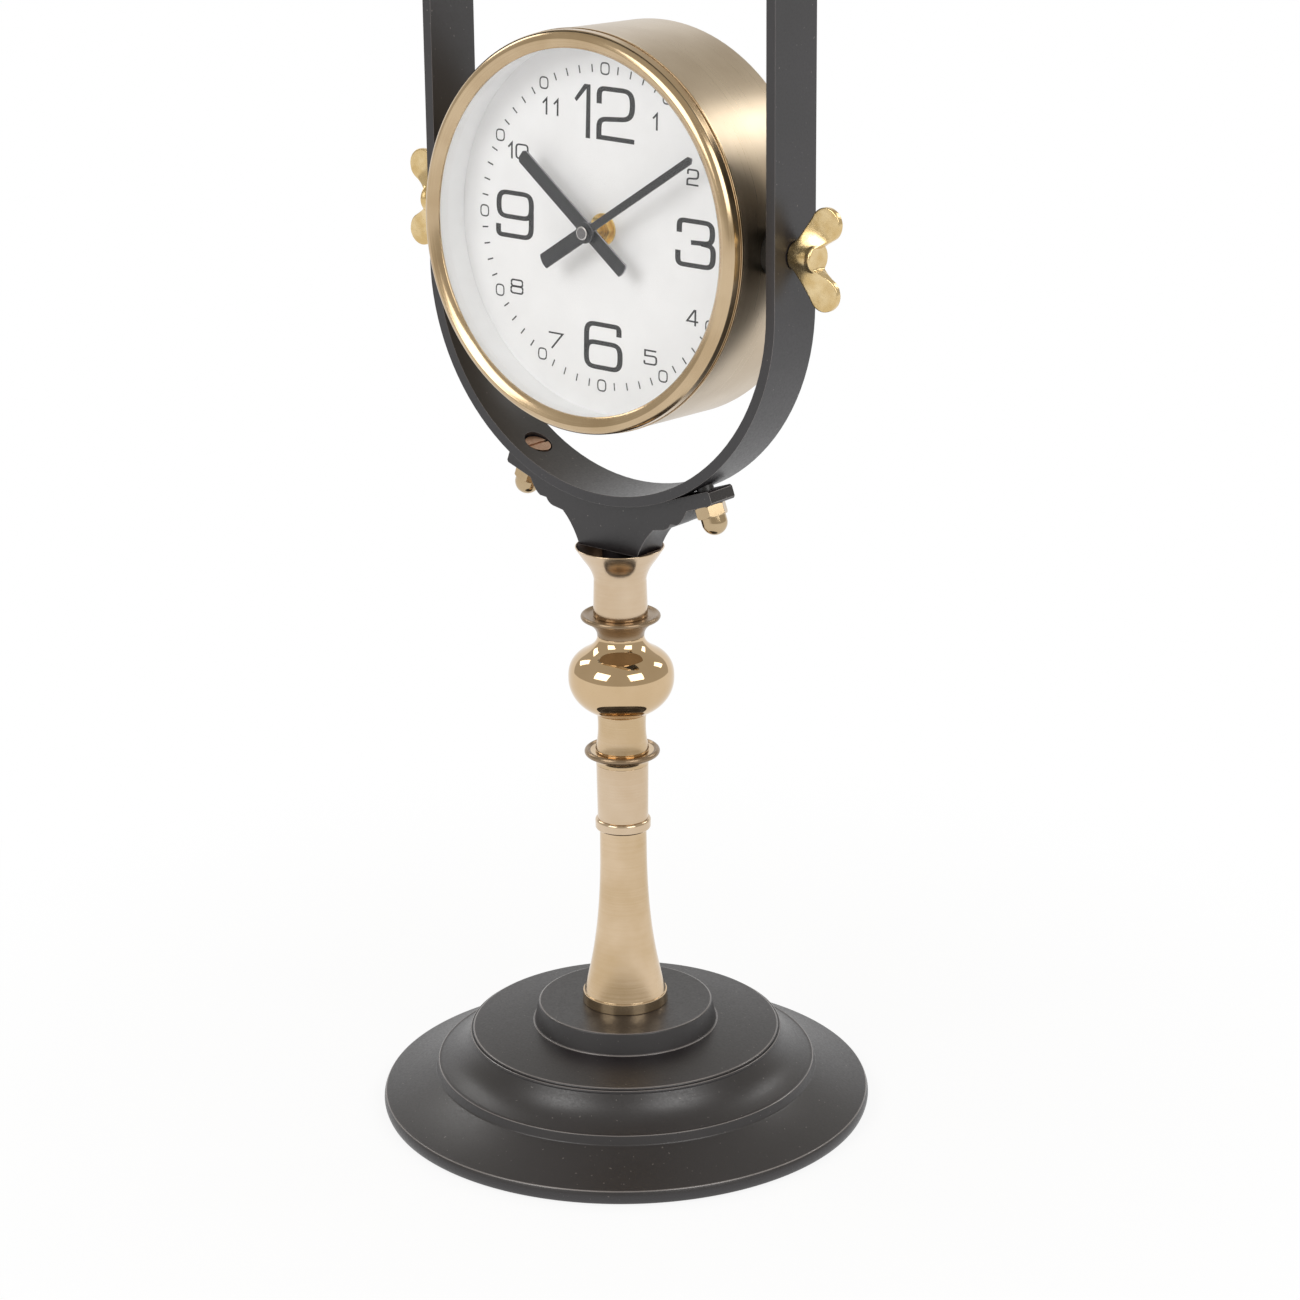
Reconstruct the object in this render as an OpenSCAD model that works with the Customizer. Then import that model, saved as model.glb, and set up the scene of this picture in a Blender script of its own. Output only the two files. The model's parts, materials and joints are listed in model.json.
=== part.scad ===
// Drum clock that tilts in a stirrup-shaped loop, on a turned column and a stepped round base.
// Sizes are in millimetres. The origin is on the floor under the column, and the dial faces -Y.

/* [Base] */
// Radius of the base at the fullest point of its rim
base_r = 117.6; // [108:0.1:126]
// Height of the rounded rim
rim_h = 6.4; // [5:0.1:8]
// Radius of the lower edge of the upright band
band_r = 92; // [88:0.5:96]
// Height that the sloping apron climbs from the rim to the band
apron_rise = 10.8; // [9:0.1:13]
// Height of the upright band
band_h = 4.3; // [3:0.1:6]
// Radius of the double bead above the cove
shoulder_r = 73.5; // [70:0.5:77]
// Height that the cove climbs from the band to the double bead
cove_rise = 16; // [13:0.5:19]
// Height that the top slopes up from the double bead to the collar
crown_rise = 2.5; // [1.5:0.1:4]
// Thickness of the casting's walls
base_wall = 7; // [5.5:0.5:8]
// Thickness of the felt pad
pad_t = 1; // [0.8:0.1:2]
// Lower radius of the collar on top of the base
collar_r = 44.7; // [40:0.1:50]
// Height of the collar
collar_h = 10.2; // [8:0.1:14]

/* [Column] */
// Radius of the column's foot
foot_r = 20.6; // [18:0.1:24]
// Height of the upright band round the foot
foot_band_h = 5.4; // [4:0.1:8]
// Height of the foot piece, up to the ring
foot_h = 88.8; // [70:0.2:110]
// Radius of the foot piece at its waist
waist_r = 11.1; // [9:0.1:12.4]
// Radius of the ring
ring_r = 13.2; // [12.8:0.1:16]
// Height of the ring
ring_h = 5.4; // [4:0.1:8]
// Height of the plain tube above the ring
tube_h = 27.4; // [20:0.2:40]
// Radius of the plain tube at its top
tube_r = 12.4; // [11.9:0.1:12.8]
// Radius of the lower disc
low_disc_r = 17.8; // [16.5:0.1:20]
// Thickness of the lower disc's rim
low_rim_t = 3; // [2.2:0.1:4]
// Height of the neck between the lower disc and the ball
low_neck_h = 18; // [14:0.2:26]
// Radius of the neck below the ball, which is a little slimmer above it
neck_r = 11.3; // [10.4:0.1:12]
// Radius of the flattened ball
ball_r = 24.9; // [22:0.1:28]
// Height that the ball's lower half would have without its neck
ball_low_h = 19.4; // [17:0.1:22]
// Height that the ball's flatter upper half would have without its neck
ball_up_h = 15.8; // [13:0.1:17]
// Height from the ball's middle to the narrowest place of the neck above it
ball_neck_h = 20.5; // [19:0.1:24]
// Height from there to the rim of the upper disc
up_neck_h = 8.1; // [6.5:0.1:12]
// Radius of the upper disc
up_disc_r = 18.7; // [17.6:0.1:21]
// Thickness of the upper disc's rim
up_rim_t = 2.4; // [1.6:0.1:3]
// Height of the cup piece, from its seat on the upper disc to its lip
cup_h = 33.8; // [31:0.2:42]
// Radius of the cup's lip
lip_r = 20.8; // [20.6:0.1:23]
// Radius of the threaded rod that ties the column together
rod_r = 4; // [3.5:0.1:4.2]

/* [Yoke and loop] */
// Thickness of the yoke from front to back
yoke_depth = 17; // [15:0.1:17.4]
// Clearance between the corners of the yoke's foot and the cup's lip
foot_room = 0.55; // [0.4:0.05:3]
// Height from the yoke's foot to the lowest point of the loop
yoke_web = 23.7; // [22:0.1:28]
// Thickness of the yoke's end flanges
flange_t = 6.6; // [5.5:0.1:7.2]
// Distance of the flange's end from the screw axis
flange_reach = 8.6; // [7.8:0.1:11]
// Gap between the loop and the flange at the screw
flange_gap = 1.7; // [1:0.1:2.4]
// Room between the drum and the inside of the loop
pivot_room = 6.4; // [4:0.1:10]
// Thickness of the loop's flat bar
loop_t = 4.8; // [4.4:0.1:5.5]
// Width of the loop's flat bar, from front to back
loop_depth = 29.2; // [25:0.1:34]
// Length of the loop's straight sides
loop_side = 142; // [130:1:200]
// Height of the clock's pivots above the centre of the lower arch
pivot_rise = 24.9; // [20:0.1:60]
// Angle round the arch from its lowest point to each yoke screw
screw_angle = 30.5; // [29.5:0.5:31.5]
// Slope of the yoke's flanges, and so of the screws
flange_slope = 20; // [18:0.5:22]
// Radius of the yoke screws' thread
screw_r = 4; // [3:0.1:4.2]
// Radius of the yoke screws' slotted heads
screw_head_r = 6.2; // [5.5:0.1:6.5]
// Width across the flats of the dome nuts
dome_af = 13; // [11:0.1:13.4]
// Height of the dome nuts
dome_h = 14; // [13:0.1:16]

/* [Clock case] */
// Radius of the drum
drum_r = 90; // [88:0.1:92]
// Thickness of the drum's wall
drum_t = 1.5; // [1:0.1:2]
// Distance from the pivots back to the drum's rear edge
drum_back = 30.2; // [27:0.1:34]
// Width of the bezel from the drum's radius in to its opening
bezel_w = 8.2; // [7:0.1:10]
// Depth of the bezel from its crown back to the drum's front edge
bezel_depth = 9; // [7.5:0.1:11]
// Thickness of the glass
glass_t = 2; // [1.5:0.1:2.5]
// Distance from the pivots forward to the dial's face
dial_front = 8.6; // [7.6:0.1:9.2]
// Thickness of the dial plate
dial_t = 1; // [0.8:0.1:1.5]
// Distance from the dial's face forward to the glass
glass_rise = 16.8; // [15:0.1:20]
// Thickness of the white ring round the dial
white_ring_t = 4; // [3:0.1:5]
// Radius of the opening in the rear cover
access_r = 41; // [40:0.5:46]
// Backward lean of the dial in the rest position, in degrees
rest_tilt = 2.1; // [0:0.1:10]

/* [Hands] */
// Gap between the minute hand's tip and the edge of the dial that shows
tip_gap = 12.7; // [8:0.1:20]
// Length of the minute hand's tail
minute_tail = 30; // [20:0.1:40]
// Width of the minute hand's blade
blade_w = 3.6; // [2.5:0.1:5]
// Width of the hands' tails, and of the whole hour hand
tail_w = 7; // [5.5:0.1:8]
// Length of the hour hand from the centre to its tip
hour_len = 50.5; // [40:0.1:60]
// Length of the hour hand's tail
hour_tail = 26; // [16:0.1:36]
// Thickness of the hands
hand_t = 0.8; // [0.5:0.1:1]
// Angle of the minute hand, clockwise from twelve
minute_angle = 56.7; // [0:0.1:360]
// Angle of the hour hand, clockwise from twelve
hour_angle = 307.1; // [0:0.1:360]

/* [Clockwork] */
// Wall of the movement at each end of the battery
bay_wall = 2.3; // [1.5:0.1:4]
// Floor of the battery bay
bay_floor = 0.8; // [0.6:0.1:2]
// Module of the minute train's teeth
train_m = 0.35; // [0.32:0.01:0.38]
// Radius of the setting knob
knob_r = 7; // [5:0.1:8]
// Radius of the battery
cell_r = 7.1; // [7:0.05:7.25]
// Length of the battery without its contacts' gap
cell_len = 50; // [49:0.1:50.4]

/* [Wing screws] */
// Radius of the shank that carries the clock
shank_r = 4; // [3:0.05:4.5]
// Radius of the wing screw's hub next to the loop
hub_in_r = 5; // [4.8:0.1:7]
// Radius of the hub's outer end
hub_out_r = 6.9; // [6.5:0.1:8.5]
// Length of the hub
hub_len = 12.4; // [11:0.1:18]
// Radius of each rounded wing
wing_r = 7.5; // [6:0.1:8.5]
// Distance from the axis to the middle of each wing
wing_arm = 15.2; // [14:0.1:19]
// Thickness of the wings
wing_t = 3; // [2:0.1:4.5]
// Radius of the black spacers between the drum and the loop
spacer_r = 10.4; // [9:0.1:13]

/* [Hidden] */
$fn = 96;

// Overrun of every cut past the surface that it opens
over = 0.6;
// Running clearance on the radius of every turning fit
run_gap = 0.05;
// Clearance on the radius of every fixed fit
fit_gap = 0.1;
// Clearance between flat faces that rub
face_gap = 0.15;
// Clearance of the yoke's curved seat under the loop, and of the spacers' seat on the drum
seat_gap = 0.02;
// Steps along each curved stretch of an outline
steps = 10;

// Levels of the base, from the floor up
rim_z = pad_t + rim_h;
band_z = rim_z + apron_rise;
band_top_z = band_z + band_h;
shoulder_z = band_top_z + cove_rise;
crown_z = shoulder_z + crown_rise;
collar_z = crown_z + collar_h;
// Tuck of the rim at the floor and at its top edge
rim_tuck = 0.9;
// Inward lean of the upright band and of the collar's side
band_lean = 1.4;
collar_lean = 2.8;
// Radius of each bead on the shoulder, and of the eased top edges
bead_r = 0.9;
// Margin of the pad and of the hollow inside the rim
pad_inset = 4;
hollow_inset = 12;
// Boss under the crown that the nut pulls against
boss_r = 20;
boss_z = 15;
// Nut, washer and rod end inside the base
nut_af = 13;
nut_h = 6.5;
washer_r = 12;
washer_t = 1.6;
rod_out = 3;

// Levels of the column
ring_z = collar_z + foot_h;
tube_z = ring_z + ring_h;
low_disc_z = tube_z + tube_h;
// Rise of the lower disc's cone-shaped underside, and the depth of the dish in both discs
low_under = 4.4;
dish_d = 0.8;
low_rim_z = low_disc_z + low_under;
low_top_z = low_rim_z + low_rim_t;
ball_z = low_top_z + low_neck_h;
// Flare of the lower neck's foot, its lip under the ball, and the heights that they take
neck_foot = 1.4;
neck_lip = 0.6;
neck_foot_h = 12;
neck_lip_h = 1.6;
// Powers of the ball's outline below and above, where an ellipse has 2
ball_low_power = 2.1;
ball_up_power = 2.5;
ball_cut_r = neck_r + neck_lip / 2;
ball_mid_z = ball_z + ball_height(ball_cut_r, ball_low_h, ball_low_power);
ball_top_z = ball_mid_z + ball_neck_h;
// Radius of the ball where its top turns hollow and runs up into the neck
shoulder_share = 0.7;
ball_turn_r = shoulder_share * ball_r;
up_neck_r = neck_r - neck_lip / 2;
up_rim_z = ball_top_z + up_neck_h;
up_top_z = up_rim_z + up_rim_t;
cup_z = up_top_z - dish_d;
lip_z = cup_z + cup_h;
rod_bore_r = rod_r + fit_gap;
// Margin of the upper disc round the narrowest part of the cup piece, and that part's height
cup_margin = 6.4;
cup_waist_r = up_disc_r - cup_margin;
cup_waist_rise = 18;
cup_foot = 0.5;
// Wall of the cup's lip, and the radius and depth of the cup's floor
lip_t = 0.8;
cup_floor_wall = 3;
cup_floor_r = cup_waist_r - cup_floor_wall;
cup_floor_drop = 12;

// Levels of the yoke and the loop
yoke_sink = 0.5;
yoke_foot_w = 2 * sqrt(pow(lip_r - lip_t - foot_room, 2) - pow(yoke_depth / 2, 2));
spigot_gap = 1.2;
spigot_r = cup_floor_r - spigot_gap;
yoke_z = lip_z - yoke_sink;
// Half the clear width inside the loop
loop_half_w = drum_r + pivot_room;
loop_out_r = loop_half_w + loop_t;
arch_z = yoke_z + yoke_web + loop_out_r;
pivot_z = arch_z + pivot_rise;
top_arch_z = arch_z + loop_side;
rod_top_z = yoke_z + yoke_web - 2 * rod_r;
// Point where each screw axis meets the inside of the arch
screw_x = loop_half_w * sin(screw_angle);
screw_z = arch_z - loop_half_w * cos(screw_angle);
// Stations along the screw axis from that point, and the slot in the head
head_sink = 0.5;
head_t = 1.9;
recess_d = head_sink + head_t;
recess_gap = 0.7;
slot_w = 1.4;
slot_d = 1;
flange_top = loop_t / cos(screw_angle - flange_slope) + flange_gap;
flange_bottom = flange_top + flange_t;
// Room beside the dome nut under the flange
nut_room = 0.5;
flange_root = dome_af / 2 + nut_room;
// Hexagon height of the dome nuts, their edge chamfer, and the roof over the thread in them
dome_hex_h = 5.5;
hex_chamfer = 0.8;
dome_step = 0.6;
dome_r = dome_af / 2 - dome_step;
dome_roof = 5;
thread_in = dome_h - dome_roof;

// Stations of the clock case from the pivots, with the front negative
wall_r = drum_r - drum_t;
inner_r = wall_r - 2 * fit_gap;
dial_view_r = inner_r - white_ring_t;
dial_back = -dial_front + dial_t;
glass_back = -dial_front - glass_rise;
glass_y = glass_back - glass_t;
// Bezel: depth of its crown over the glass, its opening, and the drum's front edge behind it
bezel_drop = 3.6;
bezel_front = bezel_drop - glass_y;
bezel_open_r = drum_r - bezel_w;
drum_front = bezel_front - bezel_depth;
// Ledge in the drum that the dial lies on
ledge_t = 1.6;
ledge_w = 6;
// Bezel: lip over the glass, crown, side, groove and bead at the rear edge
lip_back = 1.1;
crown_in = 4.2;
bezel_side = 3.7;
groove_d = 0.6;
groove_w = 1;
rear_bead = 1.3;
// Rear cover, its screws and the lugs that they enter
cover_t = 1.2;
cover_sink = 1;
cover_y = drum_back - cover_sink - cover_t;
lug_r = 4.5;
lug_t = 6;
cover_screw_r = 1.5;
cover_head_r = 3;
cover_head_h = 1.4;
cover_screws_n = 4;
// Depth that the round lugs sink into the drum's wall
lug_sink = 1;
lug_circle_r = wall_r - lug_r + lug_sink;

// Movement stations
gasket_t = 1;
gasket_r = 12;
bay_gap = 0.3;
contact_t = 0.4;
bay_h = 2 * (cell_r + bay_gap);
bay_w = cell_len + 2 * (bay_gap + contact_t);
move_side = bay_w + 2 * bay_wall;
move_depth = bay_h + bay_floor;
move_y = dial_back + gasket_t;
move_back = move_y + move_depth;
move_wall = 1.2;
// Depth of the gear chamber in the front half of the case
chamber_d = 5.2;
split_y = move_y + move_wall + chamber_d;
cannon_teeth = 12;
minute_teeth = 36;
idler_teeth = 10;
hour_teeth = 40;
// Distance between the centre arbor and the minute wheel, and the hour pair's module
train_d = train_m * (cannon_teeth + minute_teeth) / 2;
hour_m = 2 * train_d / (idler_teeth + hour_teeth);
setting_d = 2 * train_d;
gear_t = 1.5;
gear_gap = 0.5;
hour_gear_y = move_y + move_wall + gear_gap;
minute_gear_y = hour_gear_y + gear_t + gear_gap;
chamber_r = hour_m * hour_teeth / 2 + 1.5 * train_m;
pivot_pin_r = 0.7;
pivot_pin_l = 0.7;
pivot_hole = 1;
// Hand arbors: bush, hour tube and minute arbor, from the outside in
bush_r = 4;
hour_tube_r = 2.6;
arbor_r = 1.8;
bush_reach = 4.2;
bush_front = -dial_front - bush_reach;
dial_washer_r = 7.2;
dial_washer_t = 0.8;
dial_nut_af = 11;
dial_nut_h = 2.4;
// Length of the minute hand
minute_len = dial_view_r - tip_gap;
// Fronts of the cap and of the two hands, forward of the dial
cap_gap = 1.5;
cap_step = 2.4;
hand_step = 2.3;
cap_front = glass_rise - cap_gap;
minute_front = cap_front - cap_step;
hour_front = minute_front - hand_step;
hour_y = -dial_front - hour_front;
minute_y = -dial_front - minute_front;
cap_y = -dial_front - cap_front;
hour_boss_r = 4.4;
minute_boss_r = 4.8;
boss_step = 0.5;
cap_r = 3.1;
cap_skirt = 0.9;
// Cut corners of the hands' tips, and the round of their tails
tip_cut = 1.5;
tail_cut = 0.9;
// Battery bay, low in the movement, the battery's nub, and the contacts
bay_z = -move_side / 2 + cell_r + bay_gap + move_wall;
cell_y = move_back - cell_r - bay_gap;
cell_nub_r = 2.7;
cell_nub_l = 1;
contact_r = 5;
// Setting knob on the movement's back
knob_t = 3;
knob_gap = 0.4;
knob_stem_r = 1.5;
knob_flutes = 12;
flute_r = 0.8;

// Pivot stations from the centre plane
shank_hole_r = shank_r + run_gap;
wing_gap = 0.3;
hub_x = loop_out_r + wing_gap;
boss_len = 9;
pivot_boss_r = 5.8;
boss_in_x = wall_r - boss_len;
hub_round = 0.8;
wing_root_share = 0.85;
wing_foot_share = 0.5;

// Shares of the yoke's outline. Across, they run from the foot's corner to the flange's root.
// Up, they run from the foot to the flange's root. Each row is one curve: start, lean and end.
yoke_curve_shares = [
    [[0, 0], [0.12, 0.33], [0.332, 0.541]],
    [[0.487, 0.572], [0.62, 0.585], [0.674, 0.705]],
    [[0.804, 0.718], [0.91, 0.78], [1, 1]]
];

// Shares of the cup's flare. Across, they run from the waist to the lip, and up likewise.
flare_low_shares = [[0, 0], [0.058, 0.253], [0.465, 0.554]];
flare_high_shares = [[0.465, 0.554], [0.814, 0.813], [1, 1]];

// Height of the ball's outline over its middle, at radius r
function ball_height(r, h, power) = h * pow(1 - pow(r / ball_r, power), 1 / power);

// Point on a curve that starts at a, ends at b and leans towards c
function curve_point(a, c, b, t) = (1 - t) * (1 - t) * a + 2 * t * (1 - t) * c + t * t * b;

// Points of that curve, without its last one
function curve(a, c, b, n = steps) = [for (i = [0:n - 1]) curve_point(a, c, b, i / n)];

// Points of an arc from angle a0 up to but not including a1
function arc(centre, r, a0, a1, n = steps) =
    [for (i = [0:n - 1]) let (a = a0 + (a1 - a0) * i / n) centre + r * [cos(a), sin(a)]];

// Tangent point on a circle, seen from point p, on the side that the sign names
function tangent(p, centre, r, side) =
    let (v = centre - p, d = norm(v), a = atan2(v[1], v[0]) + side * asin(r / d))
    p + sqrt(d * d - r * r) * [cos(a), sin(a)];

// Place on a screw axis: s along the axis from the inside of the arch, e across it, outwards
function on_screw(s, e) = [
    screw_x + e * cos(flange_slope) + s * sin(flange_slope),
    screw_z + e * sin(flange_slope) - s * cos(flange_slope)
];

// Point that a pair of shares names in a box that starts at low
function in_box(low, size, share) = [low[0] + share[0] * size[0], low[1] + share[1] * size[1]];

// Points of the curve that a row of shares names in a box
function curve_in(low, size, row, n = steps) =
    curve(in_box(low, size, row[0]), in_box(low, size, row[1]), in_box(low, size, row[2]), n);

// The same points on the left side, in the opposite order
function mirrored(points) = [for (i = [len(points) - 1:-1:0]) [-points[i][0], points[i][1]]];

// Involute gear: half the angle of a tooth at radius r, in degrees
function involute(a) = tan(a) * 180 / PI - a;
function half_tooth(r, teeth, pitch_r, base_r, slack) =
    90 / teeth - slack + involute(acos(base_r / pitch_r)) - involute(acos(min(1, base_r / r)));

module gear_outline(teeth, m) {
    pressure = 25;
    slack_share = 0.03;
    tip_share = 0.8;
    root_share = 1.05;
    flank_steps = 3;
    pitch_r = m * teeth / 2;
    base_r = pitch_r * cos(pressure);
    tip_r = pitch_r + tip_share * m;
    root_r = pitch_r - root_share * m;
    start_r = max(base_r, root_r);
    slack = slack_share * 180 / teeth;
    flank = [for (i = [0:flank_steps]) start_r + (tip_r - start_r) * i / flank_steps];
    half = [for (r = flank) half_tooth(r, teeth, pitch_r, base_r, slack)];
    polygon([for (j = [0:teeth - 1]) let (a = 360 * j / teeth) each concat(
        [root_r * [cos(a - half[0]), sin(a - half[0])]],
        [for (i = [0:flank_steps]) flank[i] * [cos(a - half[i]), sin(a - half[i])]],
        [for (i = [flank_steps:-1:0]) flank[i] * [cos(a + half[i]), sin(a + half[i])]],
        [root_r * [cos(a + half[0]), sin(a + half[0])]]
    )]);
}

// Solid between two stations of the clock's axis, from an outline seen from the front
module plate(front, back) {
    translate([0, back, 0]) rotate([90, 0, 0]) linear_extrude(back - front) children();
}

// Round solid on the clock's axis, from a half section of radius and station
module spun() {
    rotate([90, 0, 0]) rotate_extrude() mirror([0, 1]) children();
}

// Places its children in the tilted clock, with the pivots at the centre
module clock_frame() {
    translate([0, 0, pivot_z]) rotate([-rest_tilt, 0, 0]) children();
}

// Right and left copies
module both_sides() {
    children();
    mirror([1, 0, 0]) children();
}

// Column piece from a half section, with the rod's bore through it
module column_piece(section, low, high) {
    difference() {
        rotate_extrude() polygon(section);
        translate([0, 0, low - over]) cylinder(r = rod_bore_r, h = high - low + 2 * over);
    }
}

module hexagon(af) {
    circle(r = af / sqrt(3), $fn = 6);
}

module base_pad() {
    color("#2b2a2a") cylinder(r = base_r - pad_inset, h = pad_t);
}

module base() {
    rim = concat(
        curve([base_r - rim_tuck, pad_t], [base_r + rim_tuck, pad_t + rim_h / 2],
            [base_r - rim_tuck, rim_z]),
        [[base_r - rim_tuck, rim_z]]
    );
    apron_r = base_r - 2 * rim_tuck;
    apron_mid = (apron_r + band_r) / 2 - bead_r;
    apron = curve([apron_r, rim_z + bead_r / 3], [apron_mid, rim_z + apron_rise / 2 - bead_r],
        [band_r, band_z]);
    band = [[band_r, band_z], [band_r - band_lean + bead_r / 3, band_top_z - bead_r / 3],
        [band_r - band_lean, band_top_z]];
    cove_top_r = shoulder_r + 2 * bead_r;
    cove_top_z = shoulder_z - 2.5 * bead_r;
    cove_mid_r = (band_r - band_lean + cove_top_r) / 2 - 4 * bead_r;
    cove_mid_z = (band_top_z + cove_top_z) / 2 - 3 * bead_r;
    cove = curve([band_r - band_lean - bead_r, band_top_z], [cove_mid_r, cove_mid_z],
        [cove_top_r, cove_top_z]);
    low_bead = arc([cove_top_r - bead_r, cove_top_z + bead_r / 2], bead_r, -30, 95, 5);
    high_bead = arc([shoulder_r - bead_r / 2, shoulder_z - bead_r], bead_r, -10, 90, 5);
    top = [[shoulder_r - bead_r / 2, shoulder_z], [collar_r + bead_r, crown_z], [0, crown_z]];
    hollow_r = base_r - hollow_inset;
    inside = [
        [0, boss_z], [boss_r, boss_z], [boss_r, crown_z - base_wall],
        [shoulder_r - base_wall, shoulder_z - base_wall], [band_r - base_wall, band_top_z - base_wall],
        [hollow_r, rim_z - pad_t], [hollow_r, pad_t]
    ];
    color("#3d3838") column_piece(
        concat(rim, apron, band, cove, low_bead, high_bead, top, inside), boss_z, crown_z);
}

module base_washer() {
    color("silver") difference() {
        translate([0, 0, boss_z - washer_t]) cylinder(r = washer_r, h = washer_t);
        translate([0, 0, boss_z - washer_t - over]) cylinder(r = rod_bore_r, h = washer_t + 2 * over);
    }
}

module base_nut() {
    nut_z = boss_z - washer_t - nut_h;
    color("silver") difference() {
        translate([0, 0, nut_z]) linear_extrude(nut_h) hexagon(nut_af);
        translate([0, 0, nut_z - over]) cylinder(r = rod_bore_r, h = nut_h + 2 * over);
    }
}

module tie_rod() {
    low = boss_z - washer_t - nut_h - rod_out;
    color("silver") translate([0, 0, low]) cylinder(r = rod_r, h = rod_top_z - low);
}

module base_collar() {
    top_r = collar_r - collar_lean;
    section = concat(
        [[0, crown_z]],
        arc([collar_r - bead_r / 2, crown_z], bead_r / 2, 0, 100, 4),
        [[collar_r - bead_r, crown_z + bead_r / 2]],
        arc([top_r - bead_r, collar_z - bead_r], bead_r, 10, 90, 5),
        [[top_r - bead_r, collar_z], [0, collar_z]]
    );
    color("#3d3838") column_piece(section, crown_z, collar_z);
}

module column_foot() {
    band_top = collar_z + foot_band_h;
    taper_h = foot_h - foot_band_h;
    // Power of the taper, which is steep at the foot and nearly upright at the waist
    taper_power = 2.7;
    taper_r = foot_r - bead_r;
    section = concat(
        [[0, collar_z], [foot_r, collar_z], [foot_r - bead_r / 3, band_top - bead_r / 2],
            [foot_r - bead_r / 2, band_top]],
        [for (i = [0:2 * steps]) let (t = i / (2 * steps))
            [waist_r + (taper_r - waist_r) * pow(1 - t, taper_power), band_top + taper_h * t]],
        [[0, ring_z]]
    );
    color("#c2a679") column_piece(section, collar_z, ring_z);
}

module column_ring() {
    edge = ring_h / 4;
    section = concat(
        [[0, ring_z], [ring_r - edge, ring_z]],
        arc([ring_r - edge, ring_z + edge], edge, -90, 0, 5),
        arc([ring_r - edge, tube_z - edge], edge, 0, 90, 5),
        [[ring_r - edge, tube_z], [0, tube_z]]
    );
    color("#c9ae82") column_piece(section, ring_z, tube_z);
}

module column_tube() {
    swell = 0.4;
    mid_z = tube_z + tube_h * 2 / 3;
    section = concat(
        [[0, tube_z]],
        curve([tube_r - swell, tube_z], [tube_r - swell, mid_z], [tube_r, low_disc_z]),
        [[tube_r, low_disc_z], [0, low_disc_z]]
    );
    color("#c2a679") column_piece(section, tube_z, low_disc_z);
}

module lower_disc() {
    edge = low_rim_t / 2;
    hollow_z = low_top_z - dish_d;
    foot_mid_z = hollow_z + neck_foot_h / 2;
    section = concat(
        [[0, low_disc_z]],
        curve([tube_r, low_disc_z], [tube_r, low_rim_z - low_under / 4],
            [low_disc_r - edge, low_rim_z]),
        arc([low_disc_r - edge, low_rim_z + edge], edge, -90, 90, 8),
        [[low_disc_r - edge, low_top_z]],
        [[low_disc_r - edge - bead_r, hollow_z], [neck_r + neck_foot - bead_r / 2, hollow_z]],
        curve([neck_r + neck_foot, hollow_z + bead_r], [neck_r, foot_mid_z],
            [neck_r, hollow_z + neck_foot_h]),
        curve([neck_r, hollow_z + neck_foot_h], [neck_r, ball_z - neck_lip_h],
            [neck_r + neck_lip, ball_z - neck_lip / 2]),
        [[neck_r + neck_lip, ball_z - neck_lip / 2], [neck_r + neck_lip / 2, ball_z], [0, ball_z]]
    );
    color("#c9ae82") column_piece(section, low_disc_z, ball_z);
}

// Points of half the ball's outline, from its middle to the radius where it is cut
function ball_half(cut_r, h, power) =
    [for (i = [0:2 * steps]) let (a = acos(pow(cut_r / ball_r, power / 2)) * i / (2 * steps))
        [ball_r * pow(cos(a), 2 / power), h * pow(sin(a), 2 / power)]];

module ball() {
    low = ball_half(ball_cut_r, ball_low_h, ball_low_power);
    high = ball_half(ball_turn_r, ball_up_h, ball_up_power);
    turn = [ball_turn_r, ball_mid_z + ball_height(ball_turn_r, ball_up_h, ball_up_power)];
    before = high[2 * steps - 1];
    slope = (turn[1] - ball_mid_z - before[1]) / (before[0] - turn[0]);
    section = concat(
        [[0, ball_z]],
        [for (i = [2 * steps:-1:1]) [low[i][0], ball_mid_z - low[i][1]]],
        [for (i = [0:2 * steps - 1]) [high[i][0], ball_mid_z + high[i][1]]],
        curve(turn, [up_neck_r, turn[1] + slope * (turn[0] - up_neck_r)], [up_neck_r, ball_top_z]),
        [[up_neck_r, ball_top_z], [0, ball_top_z]]
    );
    color("#cdb287") column_piece(section, ball_z, ball_top_z);
}

module upper_disc() {
    edge = up_rim_t / 2;
    hollow_z = up_top_z - dish_d;
    // Share of the height at which the neck's side, drawn on, meets the line of the underside
    flare_share = 0.54;
    section = concat(
        [[0, ball_top_z]],
        curve([up_neck_r, ball_top_z], [up_neck_r, ball_top_z + up_neck_h * flare_share],
            [up_disc_r - edge, up_rim_z]),
        arc([up_disc_r - edge, up_rim_z + edge], edge, -90, 90, 8),
        [[up_disc_r - edge, up_top_z], [up_disc_r - edge - 2 * bead_r, hollow_z], [0, hollow_z]]
    );
    color("#c9ae82") column_piece(section, ball_top_z, hollow_z);
}

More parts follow.
